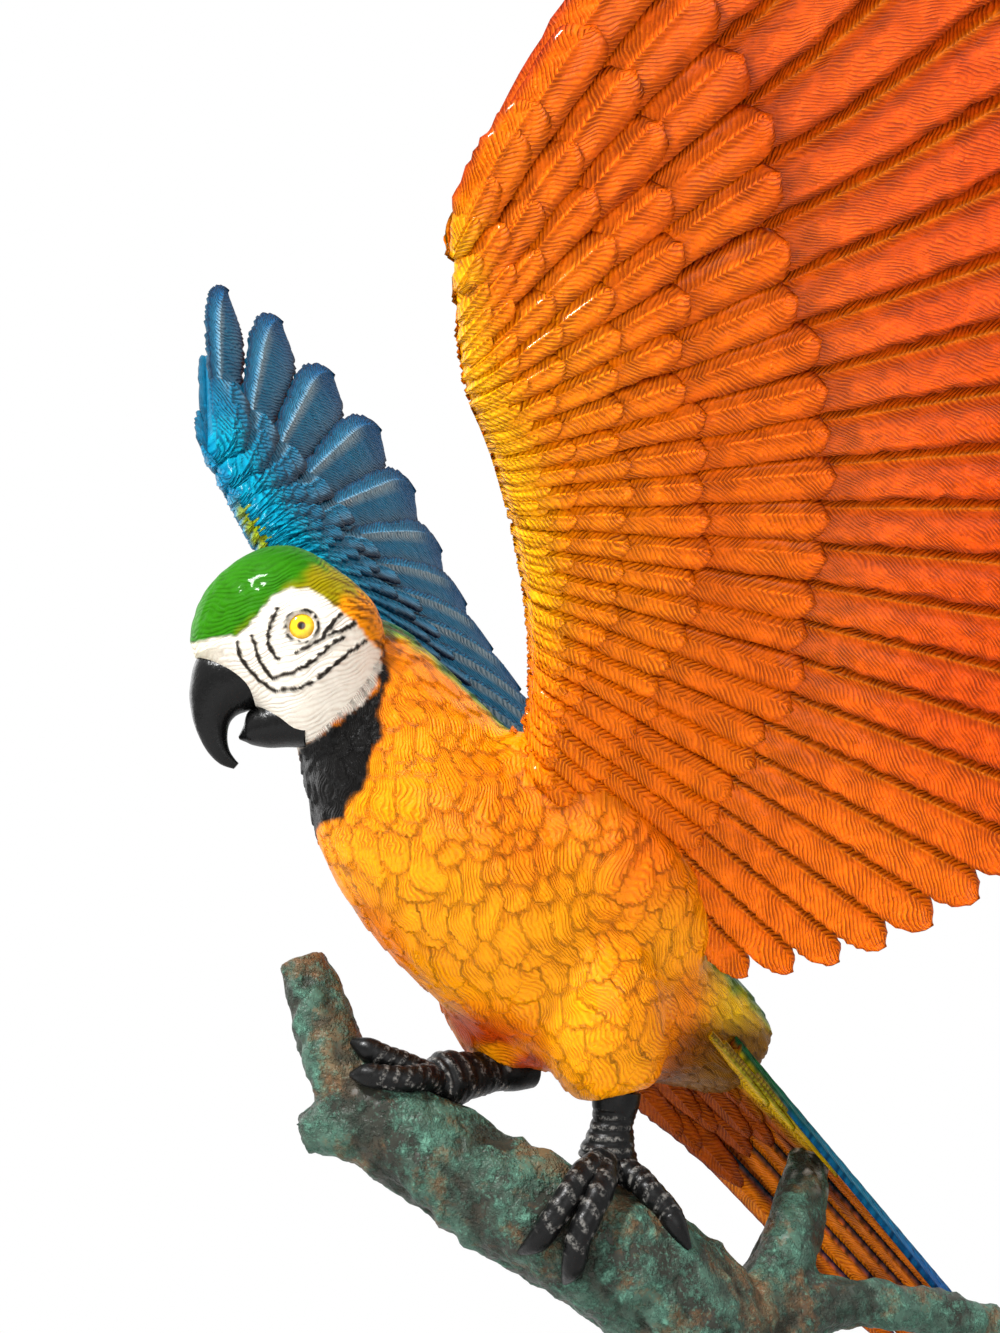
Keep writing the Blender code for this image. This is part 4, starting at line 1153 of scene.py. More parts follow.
@dataclass
class Body:
    """Neck, trunk, thighs and wing roots melted into one skin and carved with scale-like feathers.

    The trunk is a line of ovals (y, z, half height, half width).
    """

    trunk: tuple = ((-0.0700, 0.3690, 0.0175, 0.0105), (-0.0590, 0.3615, 0.0255, 0.0165),
                    (-0.0448, 0.3516, 0.0283, 0.0245), (-0.0331, 0.3366, 0.0337, 0.0305),
                    (-0.0182, 0.3173, 0.0396, 0.0360), (0.0123, 0.2911, 0.0405, 0.0375),
                    (0.0468, 0.2694, 0.0350, 0.0335), (0.0800, 0.2600, 0.0250, 0.0260),
                    (0.1080, 0.2470, 0.0150, 0.0190))
    thigh_top: Array = field(default_factory=lambda: np.array([0.0170, 0.0330, 0.2640]))
    thigh_hem: Array = field(default_factory=lambda: np.array([0.0170, 0.0420, 0.2290]))
    thigh_radius: float = 0.0235
    far_shift: Array = field(default_factory=lambda: np.array([0.0, -0.0140, 0.0115]))
    voxel: float = 0.00118
    scale_height: float = 0.0013
    feather_long: float = 0.0088
    feather_wide: float = 0.0082
    feather_lean: float = math.radians(28)
    mean_radius: float = 0.036
    root_place: tuple = (0.0940, -0.1170)
    root_radii: tuple = (0.0270, 0.0540, 0.0185)
    root_lean: float = math.radians(42)
    skin_lift: float = 0.0004
    row_bend: float = 0.0020
    file_bend: float = 0.0016
    strand_pitch: float = 0.0050
    wings: tuple = ()

    def spine(self) -> Array:
        """Middle line of the trunk as 240 rows (x, y, z)."""
        line = curve(np.array(self.trunk), 240)
        return np.stack([line[:, 0] * 0, line[:, 0], line[:, 1]], 1)

    def _solids(self) -> Skinmesh:
        """Closed shapes that the skin is melted from."""
        skin = Skinmesh()
        line = curve(np.array(self.trunk), 90)
        along = np.gradient(line[:, :2], axis=0)
        along /= np.linalg.norm(along, axis=1)[:, None]
        turn = np.linspace(0, 2 * math.pi, 56, endpoint=False)
        sideways = line[:, 3:4] * np.cos(turn)
        upward = line[:, 2:3] * np.sin(turn)
        points = np.stack([sideways, line[:, 0:1] - along[:, 1:2] * upward,
                           line[:, 1:2] + along[:, 0:1] * upward], -1)
        skin.add_rings(points[None], np.zeros(3), np.zeros(3), np.zeros(()))
        for side in Side:
            shift = self.far_shift if side is Side.RIGHT else np.zeros(3)
            mirror = np.array([side.value, 1, 1])
            top, hem = self.thigh_top * mirror + shift, self.thigh_hem * mirror + shift
            knots = [(*(top + (hem - top) * share), self.thigh_radius * radius) for share, radius in
                     ((-1.7, 0.30), (-1.1, 0.62), (-0.5, 0.84), (0.0, 0.95), (0.35, 0.97), (0.65, 0.84),
                      (0.88, 0.67), (1.0, 0.58))]
            add_tube(skin, np.array(knots), 50, 40)
        for wing in self.wings:
            self._add_root(skin, wing)
        return skin

    def _add_root(self, skin: Skinmesh, wing: Wing) -> None:
        """Add the flesh between flank and wing: a stretched ball in the flat wing's frame."""
        turn = np.linspace(0, 2 * math.pi, 40, endpoint=False)[None, :]
        climb = np.linspace(0.02, math.pi - 0.02, 30)[:, None]
        long = self.root_radii[1] * np.cos(climb) + 0 * turn
        wide = self.root_radii[0] * np.sin(climb) * np.cos(turn)
        height = self.root_radii[2] * np.sin(climb) * np.sin(turn)
        cos, sin = math.cos(self.root_lean), math.sin(self.root_lean)
        chord = self.root_place[0] + wide * cos - long * sin
        span = self.root_place[1] + wide * sin + long * cos
        points = wing.flat_plain(chord, span, height)
        skin.add_rings(points[None], np.zeros(3), np.zeros(3), np.zeros(()))

    def build(self, material: bpy.types.Material, head: "Head") -> None:
        """Melt, carve and paint the skin."""
        points, faces, normals = blended("body_solids", self._solids(), self.voxel, 110)
        points = points + normals * self.skin_lift
        spine = self.spine()
        gaps = ((points[:, None, :] - spine[None, ::4, :]) ** 2).sum(-1)
        nearest = gaps.argmin(1) * 4
        arc = np.concatenate([[0], np.cumsum(np.linalg.norm(np.diff(spine, axis=0), axis=1))])
        along = np.gradient(spine, axis=0)
        along /= np.linalg.norm(along, axis=1)[:, None]
        offset = points - spine[nearest]
        way = arc[nearest] + (offset * along[nearest]).sum(1)
        upward = np.stack([along[nearest][:, 0] * 0, -along[nearest][:, 2], along[nearest][:, 1]], 1)
        lift = np.arctan2((offset * upward).sum(1), np.abs(offset[:, 0])) * self.mean_radius
        lean = self.feather_lean
        down = way * math.cos(lean) - lift * math.sin(lean)
        sideways = way * math.sin(lean) + lift * math.cos(lean)
        sideways = sideways * np.where(points[:, 0] > 0, 1.0, -1.0)
        calm = smooth(points[:, 2] - 0.26 + 0.8 * (points[:, 1] + 0.055), -0.02, 0.010)
        height, groove, vane = self.scales(down, sideways, points)
        strands = ripple(np.stack([sideways, down * 0.20, down * 0], -1), self.strand_pitch, 35)
        height = height * (0.25 + 0.75 * calm) + 0.10 * strands
        # Painted shade of the scales, weaker where the carving is calmed.
        groove = np.clip(groove * (0.3 + 0.7 * calm), 0, 1)
        points = points + normals * (height * self.scale_height)[:, None]
        skin = Skinmesh()
        skin.add_faces(points, faces, self.colours(points, lift, head), vane, groove)
        report(skin.build("breast_and_back", [material]), "parrot_body")

    def scales(self, way: Array, across_way: Array, points: Array) -> tuple[Array, Array, Array]:
        """Scale-like feathers in staggered rows, each one rising to its rounded tip.

        A point lies on the topmost of three candidates, those that start in its own row and in the two rows
        before it. A feather's outline is half an ellipse, and its place is bent by smooth noise.

        Args:
            way: distance in the direction in which the feathers point.
            across_way: distance square to it.
            points: places, for small irregularities.

        Returns:
            Height about -0.5 to 0.7, a mask of painted shade under the tips and between the feathers, and
            place in the feather.
        """
        long, wide = self.feather_long, self.feather_wide
        way = way + self.row_bend * ripple(points, 0.022, 31)
        across_way = across_way + self.file_bend * ripple(points, 0.020, 32)
        best = np.full(way.shape, -1.0)
        across = np.zeros(way.shape)
        ahead = np.zeros(way.shape)
        for layer in range(3):
            row = np.floor(way / long) - layer
            shifted = across_way / wide + 0.5 * (row % 2)
            cell = np.round(shifted)
            cross = (shifted - cell) * wide
            reach = way - row * long
            chance = np.sin(cell * 12.9898 + row * 78.233) * 43758.5453
            chance = chance - np.floor(chance)
            tip = 2.0 * long * (0.78 + 0.40 * chance)
            share = np.clip((reach - 0.45 * tip) / (0.55 * tip), 0, 1)
            width = wide * 0.66 * np.sqrt(np.clip(1 - share ** 2.2, 0, 1))
            covered = (np.abs(cross) < width) & (reach < tip)
            rise = (reach / tip) ** 1.3 * (0.60 + 0.40 * chance) + 0.05 * (1 - (cross / wide * 2) ** 2)
            better = covered & (rise > best)
            best = np.where(better, rise, best)
            across = np.where(better, cross, across)
            ahead = np.where(better, reach, ahead)
        found = best >= 0
        height = np.where(found, best, 0.1) - 0.4
        # Painted shade where a feather lies low under the tip of the one before it, and a flat share where no
        # feather lies.
        groove = np.where(found, 0.36 * smooth(0.34 - best, 0.0, 0.22), 0.36)
        fanned = across * (1 + 0.7 * np.clip(1 - ahead / (1.6 * long), 0, 1))
        vane = np.stack([ahead, fanned + 0.08 * across_way, way], 1)
        return height, np.clip(groove, 0, 1), vane

    def colours(self, points: Array, lift: Array, head: "Head") -> Array:
        """Golden orange breast, redder belly, olive nape, blue back and black throat.

        Args:
            points: places on the skin.
            lift: distance round the trunk above its middle line.
            head: head whose outlines say where the throat and the nape are.

        Returns:
            Linear colours.
        """
        patch = smooth(ripple(points, 0.05, 41), -0.8, 1.0)
        tone = mix(np.broadcast_to(Tint.BREAST_GOLD, points.shape), Tint.BREAST_ORANGE, 0.7 * patch)
        front = smooth(-(points[:, 1] + 0.62 * (0.33 - points[:, 2])), 0.012, 0.045)
        tone = mix(tone, Tint.CHEST_GOLD, 0.5 * front)
        root = smooth(np.abs(points[:, 0]), 0.033, 0.052) * smooth(points[:, 2], 0.27, 0.30)
        tone = mix(tone, Tint.ROOT_ORANGE, 0.75 * root)
        from_groin = (points - np.array([-0.014, 0.010, 0.238])) / np.array([0.026, 0.026, 0.030])
        groin = 1 - smooth(np.linalg.norm(from_groin, axis=1), 0.5, 1.35)
        tone = mix(tone, Tint.GROIN_RED, 0.85 * groin * smooth(ripple(points, 0.02, 42), -1.2, 0.4))
        rump = smooth(points[:, 1], 0.062, 0.088) * smooth(points[:, 0] + 0.016, 0.0, 0.02)
        tone = mix(tone, Tint.RUMP_YELLOW, 0.9 * rump)
        under_rump = 0.252 + 0.1 * points[:, 1] - points[:, 2]
        shade = smooth(points[:, 1], 0.052, 0.070) * smooth(under_rump, 0.0, 0.012)
        tone = mix(tone, Tint.SHADOW_BROWN, 0.85 * shade)
        border = lift + 0.003 * ripple(points, 0.012, 43) + 0.014 * smooth(points[:, 1], 0.055, 0.085)
        tone = mix(tone, Tint.BORDER_OLIVE, smooth(border, 0.024, 0.031))
        tone = mix(tone, Tint.BACK_GREEN, smooth(border, 0.030, 0.037))
        tone = mix(tone, Tint.BACK_BLUE, smooth(border, 0.041, 0.050))
        seen = head.seen(points)
        dark = smooth(ripple(points * np.array([1.0, 0.5, 0.5]), 0.0035, 44), 0.0, 1.0)
        from_nape = np.hypot(seen[:, 0] - 26, 0.8 * seen[:, 1] - 2)
        nape = smooth(58 - from_nape, 24, 44) * smooth(seen[:, 1], -24, -4)
        tone = mix(tone, Tint.NAPE_STROKE, 0.75 * dark * nape)
        black = inside(seen, np.array(head.throat), 0.9, 57) * smooth(points[:, 0] + 0.035, 0.0, 0.01)
        tone = mix(tone, Tint.THROAT_BLACK, black)
        return mix(tone, Tint.FACE_WHITE, inside(seen, np.array(head.white), 0.5, 51))


@dataclass
class Tail:
    """Long tail feathers side by side in a low arch, orange below and blue above."""

    root: Array = field(default_factory=lambda: np.array([0.0, 0.0930, 0.2560]))
    slope: float = math.radians(40.0)
    length: float = 0.2692
    feathers: int = 9
    step: float = 0.0290
    width: float = 0.0680
    taper: float = 0.42
    arch: float = 0.0110
    free: float = 0.0300
    fan_drop: float = 0.0126
    tuft_drop: float = 0.012
    tuft_below: float = 0.0026
    tuft_layer: float = 0.0016
    # Rows of tufts over the root: start, tip, feathers
    tuft_rows: tuple = ((0.000, 0.058, 7), (-0.006, 0.040, 8), (-0.012, 0.024, 8))

    def place(self, reach: Array, cross: Array, height: Array) -> Array:
        """Slope the arched tail down from the rump."""
        narrowed = cross * (1 - self.taper * reach / self.length)
        drop = height - self.arch * (2 * cross / self.width) ** 2
        return np.stack([narrowed + self.root[0],
                         self.root[1] + reach * math.cos(self.slope) + drop * math.sin(self.slope),
                         self.root[2] - reach * math.sin(self.slope) + drop * math.cos(self.slope)], -1)

    def build(self, under: bpy.types.Material, over: bpy.types.Material) -> None:
        """Build the long feathers and the yellow tufts that cover their roots."""
        index = np.arange(self.feathers, dtype=float) - (self.feathers - 1) / 2
        middle = index * self.width / self.feathers
        tips = self.length - np.abs(index) * self.step
        half = np.full(self.feathers, self.width / self.feathers * 0.66)

        def layer(reach: Array, cross: Array) -> Array:
            return -self.fan_drop * np.abs(cross) / self.width

        row = FeatherRow(np.zeros(self.feathers), tips, middle, half, np.full(self.feathers, self.free),
                         self.place, layer, thickness=0.0024, tilt=0.0009, rows=70, columns=8, seed=9,
                         shaft=0.0006, shaft_place=0.0, half_metre=half)

        def dress(points: Array, s: Array, w: Array) -> Array:
            above = np.broadcast_to(row.slots() == 0, s.shape)
            across = (row.each(middle) + row.each(half) * w) / self.width
            edge = smooth(across + 0.02 * ripple(points, 0.015, 71), 0.40, 0.46)
            # Long streaks of painted shadow in brown between lit orange strips on the underside.
            streak = smooth(ripple(points * np.array([1.0, 0.15, 0.15]), 0.010, 72), -0.3, 1.2)
            low = mix(Tint.TAIL_ORANGE, Tint.TAIL_BROWN, streak)
            low = mix(low, Tint.TAIL_TIP, smooth(s, 0.5, 1.0) * 0.5)
            low = mix(low, Tint.TAIL_YELLOW, edge * (1 - smooth(s, 0.30, 0.85)))
            low = mix(low, Tint.TAIL_RIM, smooth(across, 0.455, 0.50) * smooth(s, 0.05, 0.2))
            high = mix(Tint.TAIL_GREEN, Tint.TAIL_TEAL, smooth(s, 0.08, 0.35))
            high = mix(high, Tint.TAIL_BLUE, smooth(s, 0.4, 0.8))
            return np.where(above[..., None], high, low)

        skin = Skinmesh()
        row.add_to(skin, dress, 1 - row.slots())
        report(skin.build("tail_feathers", [under, over]), "parrot_body")
        self._tufts(under)

    def _tufts(self, material: bpy.types.Material) -> None:
        """Build rows of short feathers that lie over the tail's underside at the rump."""
        skin = Skinmesh()
        for number, (first, last, count) in enumerate(self.tuft_rows):
            chance = np.random.default_rng(80 + number)
            middle = (np.arange(count) - (count - 1) / 2) * self.width * 0.98 / count
            tip = last + chance.uniform(-0.006, 0.006, count)
            start = np.full(count, first)
            half = np.full(count, self.width / count * 0.62)

            def below(reach: Array, cross: Array, layer: int = number) -> Array:
                flat = -self.tuft_below - self.tuft_layer * layer
                return flat - self.tuft_drop * np.abs(cross) / self.width

            row = FeatherRow(start, tip, middle, half, 0.6 * (tip - start), self.place, below,
                             thickness=0.0014, tilt=0.0005, crown=0.0006, shaft=0.0003, rows=20, columns=7,
                             up=-1.0, seed=90 + number, ragged=0.3, half_metre=half)

            def dress(points: Array, s: Array, w: Array) -> Array:
                across = (row.each(row.middle) + row.each(half) * w) / self.width
                # Brown painted shade on the tufts' far side (-X), turning to yellow and then green at the
                # near edge.
                tone = mix(Tint.TUFT_BROWN, Tint.TUFT_YELLOW, smooth(across, -0.06, 0.20))
                return mix(tone, Tint.TUFT_GREEN, smooth(across, 0.44, 0.54))

            row.add_to(skin, dress)
        report(skin.build("rump_tufts", [material]), "parrot_body")


@dataclass
class Head:
    """Skull with its face patch, beak and eyes, turned and rolled about the skull's centre.

    Outlines are (back, rise) in millimetres from the centre, as seen square to the left cheek. A rib of
    the beak is (outer back, outer rise, inner back, inner rise, half width) in millimetres.
    """

    centre: Array = field(default_factory=lambda: np.array([0.0, -0.0742, 0.3698]))
    turn: float = math.radians(-33)
    roll: float = math.radians(8)
    half_width: float = 0.0200
    cheek_rise: float = 0.174
    outline: tuple = ((-30.5, -6.5), (-31.7, -2.5), (-31.9, 1.0), (-31.0, 6.0), (-29.0, 12.2), (-24.8, 18.6),
                      (-18.0, 24.8), (-11.0, 28.8), (-5.0, 30.2), (1.0, 30.0), (8.0, 27.3), (15.0, 22.5),
                      (22.0, 17.0), (28.5, 9.0), (31.0, -3.0), (28.0, -17.0), (21.0, -28.0), (11.0, -34.5),
                      (3.0, -34.5), (-3.0, -30.0), (-9.0, -24.0), (-17.0, -17.0), (-25.0, -10.5))
    eye: tuple = (5.9, 3.5)
    eye_radius: float = 0.0043
    rim_radius: float = 0.0052
    rim_height: float = 0.0006
    socket_depth: float = 0.0012
    nostril_depth: float = 0.0006
    stripe_height: float = 0.00035
    stroke_height: float = 0.00010
    patch_edge: float = 0.0004
    eye_side: float = 0.0184
    eye_dome: float = 0.0021
    nostril: tuple = (-20.4, -5.4)
    horn_rings: int = 70
    horn_sides: int = 48
    white: tuple = ((-31.6, -2.2), (-23.0, -0.2), (-15.2, 0.6), (-10.4, 4.2), (-6.0, 10.4), (-2.4, 14.0),
                    (2.2, 15.6), (7.6, 15.4), (12.4, 13.0), (16.4, 9.6), (20.0, 6.8), (23.0, 4.6),
                    (26.4, -1.2), (29.9, -4.2), (30.6, -9.0), (28.8, -15.6), (24.6, -21.6), (18.0, -25.4),
                    (13.2, -30.2), (8.6, -33.6), (3.0, -36.0), (-6.0, -32.0), (-14.0, -26.0), (-24.0, -16.0),
                    (-32.0, -9.0))
    throat: tuple = ((3.6, -33.0), (9.6, -33.0), (16.8, -27.6), (20.6, -24.4), (24.8, -21.2), (29.4, -17.2),
                     (30.6, -5.8), (28.6, -0.4), (32.0, -4.4), (32.8, -13.8), (30.2, -23.6), (32.0, -31.8),
                     (28.6, -35.2), (27.6, -41.6), (25.2, -49.8), (20.4, -53.2), (18.8, -58.0), (14.0, -60.4),
                     (5.0, -61.0), (2.0, -48.0), (2.0, -38.0))
    stripes: tuple = (((-14.8, -2.2), (-13.8, -6.2), (-11.6, -9.8), (-8.6, -13.2), (-5.2, -15.8),
                       (-2.4, -17.2), (4.0, -16.6), (10.2, -14.2), (15.4, -9.6), (20.0, -5.4), (25.4, -1.4)),
                      ((-9.8, 0.4), (-8.6, -4.0), (-7.2, -8.0), (-5.2, -11.2), (-3.4, -13.4), (3.8, -11.2),
                       (7.8, -8.8), (12.0, -5.6), (15.4, -2.4), (18.6, -0.6)),
                      ((-1.8, 8.8), (-3.4, 5.6), (-4.6, 1.6), (-4.6, -1.8), (-3.4, -5.0), (-1.4, -6.6)),
                      ((4.6, -4.6), (8.0, -3.2), (12.0, -0.8), (15.4, 4.2), (18.6, 8.2)),
                      ((14.6, 0.8), (18.6, 2.2), (22.6, 4.6), (24.6, 4.2)))
    beak_ribs: tuple = ((-4.0, -4.0, -3.0, -20.0, 10.0), (-18.0, -4.0, -6.5, -21.0, 10.2),
                        (-29.0, -6.0, -12.0, -23.6, 9.2), (-31.9, -16.5, -16.6, -25.4, 7.2),
                        (-31.2, -24.5, -18.9, -28.4, 5.6), (-29.2, -31.0, -19.4, -32.8, 4.4),
                        (-25.8, -37.2, -18.6, -36.8, 3.3), (-21.6, -41.3, -17.0, -39.4, 2.1),
                        (-17.2, -42.9, -15.6, -41.0, 0.9))
    jaw_ribs: tuple = ((8.0, -20.0, 6.0, -36.0, 9.5), (-1.0, -19.6, 0.0, -35.8, 9.0),
                       (-8.0, -21.6, -6.0, -36.0, 7.6), (-12.8, -24.4, -11.0, -35.2, 5.4),
                       (-14.2, -29.0, -13.4, -34.2, 3.2), (-15.8, -32.4, -15.4, -33.4, 1.0))

    def axes(self) -> Array:
        """Turn and roll of the head as a matrix."""
        return np.array(Matrix.Rotation(self.turn, 3, "Z") @ Matrix.Rotation(self.roll, 3, "Y"))

    def set_in_place(self, local: Array) -> Array:
        """Turn head places (left, back, up) into places on the figure."""
        return local @ self.axes().T + self.centre

    def seen(self, points: Array) -> Array:
        """Places on the figure as (back, rise) in millimetres, as the cheek is seen from its own side."""
        local = (points - self.centre) @ self.axes()
        return 1000 * np.stack([local[..., 1], local[..., 2] + self.cheek_rise * np.abs(local[..., 0])], -1)

    def build(self, feather: bpy.types.Material, black: bpy.types.Material,
              gloss: bpy.types.Material) -> None:
        """Build skull, beak and eyes."""
        report(self._skull().build("head", [feather]), "parrot_body")
        beak = Skinmesh()
        for ribs in (self.beak_ribs, self.jaw_ribs):
            self._add_horn(beak, np.array(ribs) / 1000)
        report(beak.build("beak", [black]), "parrot_body")
        eyes = Skinmesh()
        for side in Side:
            self._add_eye(eyes, side)
        report(eyes.build("eyes", [gloss]), "parrot_body")

    def half_thickness(self, ratio: Array) -> Array:
        """Half width of the skull: a superellipse of the share of the way out to the outline."""
        return self.half_width * np.maximum(1 - ratio ** 2.5, 0.0) ** 0.55

    def _skull(self) -> Skinmesh:
        """Skull as rings about the eye: each ring is the outline drawn in towards the eye.

        place = eye + share * (outline - eye), with the half width of a superellipse.
        """
        outline = np.array(self.outline + self.outline[:1])
        loop = curve(outline, 221)[:-1] / 1000
        eye = np.array(self.eye) / 1000 - np.array([0.0, self.cheek_rise * 0.019])
        way = np.linspace(-1.0, 1.0, 170)
        ratio = np.clip(np.abs(np.sin((1 - np.abs(way)) * math.pi / 2)), 0.004, 1.0)
        flank = np.sign(way)[:, None] * self.half_thickness(ratio)[:, None] * np.ones(len(loop))
        back = eye[0] + ratio[:, None] * (loop[:, 0] - eye[0])
        rise = eye[1] + ratio[:, None] * (loop[:, 1] - eye[1])
        local = np.stack([flank, back, rise], -1)
        points = self.set_in_place(local)
        seen = self.seen(points)
        from_eye = np.hypot(seen[..., 0] - self.eye[0], seen[..., 1] - self.eye[1]) / 1000
        white = inside(seen, np.array(self.white), 0.5, 51)
        stripe = np.zeros(white.shape)
        for line in self.stripes:
            worn = 0.42 + 0.30 * ripple(points, 0.003, 52)
            stripe = np.maximum(stripe, 1 - smooth(distance_to(seen, np.array(line)), worn, worn + 0.55))
        rim = np.exp(-((from_eye - self.rim_radius) / 0.0007) ** 2)
        socket = 1 - smooth(from_eye, 0.0036, 0.0050)
        strokes = ripple(points * np.array([1.0, 0.25, 0.6]), 0.0035, 53)
        from_nostril = np.hypot(seen[..., 0] - self.nostril[0], seen[..., 1] - self.nostril[1])
        dent = 1 - smooth(from_nostril, 0.5, 1.6)
        swell = (self.stroke_height * strokes * (1 - white) + self.stripe_height * stripe * white
                 + self.rim_height * rim - self.socket_depth * socket - self.nostril_depth * dent
                 + self.patch_edge * smooth(-white, -0.6, -0.1))
        outward = 0.6 * local / 0.03
        outward[..., 0] = np.sign(local[..., 0])
        outward /= np.linalg.norm(outward, axis=-1, keepdims=True)
        points = self.set_in_place(local + outward * swell[..., None])
        tone = self.colours(points, seen, white, stripe)
        mottled = smooth(ripple(points, 0.0022, 54), -0.7, 0.6)
        tone = mix(tone, Tint.LID_BLACK, np.clip(rim * 1.3, 0, 1) * (0.35 + 0.65 * mottled))
        left, back, up = local[..., 0], local[..., 1], local[..., 2]
        vane = np.stack([back, up - 0.35 * back + 0.2 * left, left], -1)
        # Painted shade in the valleys of the crown's strokes, none on the white face.
        groove = 0.25 * smooth(-strokes, 0.3, 1.2) * (1 - white)
        skin = Skinmesh()
        skin.add_rings(points[None], tone[None], vane[None], groove[None])
        return skin

    def colours(self, points: Array, seen: Array, white: Array, stripe: Array) -> Array:
        """Green crown, olive round the face, orange nape, white face with dark lines, black throat."""
        back, rise = seen[..., 0], seen[..., 1]
        wander = 1.6 * ripple(points, 0.006, 55)
        tone = np.broadcast_to(Tint.NAPE_GOLD, points.shape)
        olive = smooth(rise + 0.5 * (22 - back) + wander, 9.0, 17.0)
        tone = mix(tone, Tint.CROWN_OLIVE, olive)
        brow = smooth(rise * 0.95 - 0.9 * back + wander, 9.0, 17.0)
        green = np.maximum(brow, smooth(rise + wander, 20.5, 26.0))
        tone = mix(tone, Tint.CROWN_GREEN, green)
        tone = mix(tone, Tint.CROWN_SHADE, smooth(rise, 22, 30) * 0.5)
        dark = smooth(ripple(points * np.array([1.0, 0.3, 1.0]), 0.0026, 56), 0.0, 0.9)
        tone = mix(tone, Tint.STROKE_BROWN, 0.85 * dark * smooth(back, 10, 20) * (1 - 0.5 * green))
        tone = mix(tone, Tint.FACE_WHITE, white)
        tone = mix(tone, Tint.CERE_CREAM, 0.7 * white * (1 - smooth(back, -30, -16)))
        tone = mix(tone, Tint.LINE_BLACK, stripe * white)
        black = inside(seen, np.array(self.throat), 0.8, 57)
        return mix(tone, Tint.CHIN_BLACK, black * (1 - white))

    def _add_horn(self, skin: Skinmesh, ribs: Array) -> None:
        """Add one half of the beak: ellipses between an outer and an inner edge along the ribs."""
        rows = curve(ribs, self.horn_rings)
        outer, inner, width = rows[:, :2], rows[:, 2:4], rows[:, 4]
        middle, reach = (outer + inner) / 2, (outer - inner) / 2
        turn = np.linspace(0, 2 * math.pi, self.horn_sides, endpoint=False)
        bulge = np.sign(np.cos(turn)) * np.abs(np.cos(turn)) ** 0.9
        side = np.sin(turn) * (1 - 0.12 * np.cos(turn))
        back = middle[:, 0:1] + reach[:, 0:1] * bulge
        rise = middle[:, 1:2] + reach[:, 1:2] * bulge
        local = np.stack([width[:, None] * side, back, rise], -1)
        local = local * (1 + 0.010 * ripple(local, 0.012, 61)[..., None] * np.array([1.0, 0.0, 0.0]))
        growth = 0.5 + 0.5 * np.sin(local[..., 1] * 2600 + 3 * ripple(local, 0.02, 62))
        skin.add_rings(self.set_in_place(local)[None], np.zeros(3), np.zeros(3), 0.55 - 0.2 * growth[None])

    def _add_eye(self, skin: Skinmesh, side: Side) -> None:
        """Add a low dome with pupil, iris and a dark ring, as rings about its middle."""
        share = np.sin(np.linspace(0.01, 1.0, 40) * math.pi / 2)[:, None]
        turn = np.linspace(0, 2 * math.pi, 60, endpoint=False)[None, :]
        centre_rise = self.eye[1] / 1000 - self.cheek_rise * 0.0195
        flank = self.eye_side + self.eye_dome * np.sqrt(np.maximum(1 - share ** 2, 0)) + 0 * turn
        local = np.stack([side.value * flank, self.eye[0] / 1000 + self.eye_radius * share * np.cos(turn),
                          centre_rise + self.eye_radius * share * np.sin(turn)], -1)
        streak = 0.5 + 0.5 * np.sin(turn * 17 + 3 * np.sin(turn * 5))
        tone = mix(Tint.IRIS_YELLOW, Tint.IRIS_AMBER, smooth(share, 0.55, 0.95) * (0.4 + 0.6 * streak))
        tone = mix(tone, Tint.IRIS_BROWN, 1 - smooth(share + 0 * turn, 0.26, 0.38))
        tone = mix(tone, Tint.PUPIL, 1 - smooth(share + 0 * turn, 0.16, 0.24))
        tone = mix(tone, Tint.EYE_RING, smooth(share + 0 * turn, 0.93, 1.0))
        skin.add_rings(self.set_in_place(local)[None], tone[None], np.zeros(3), np.zeros(()))


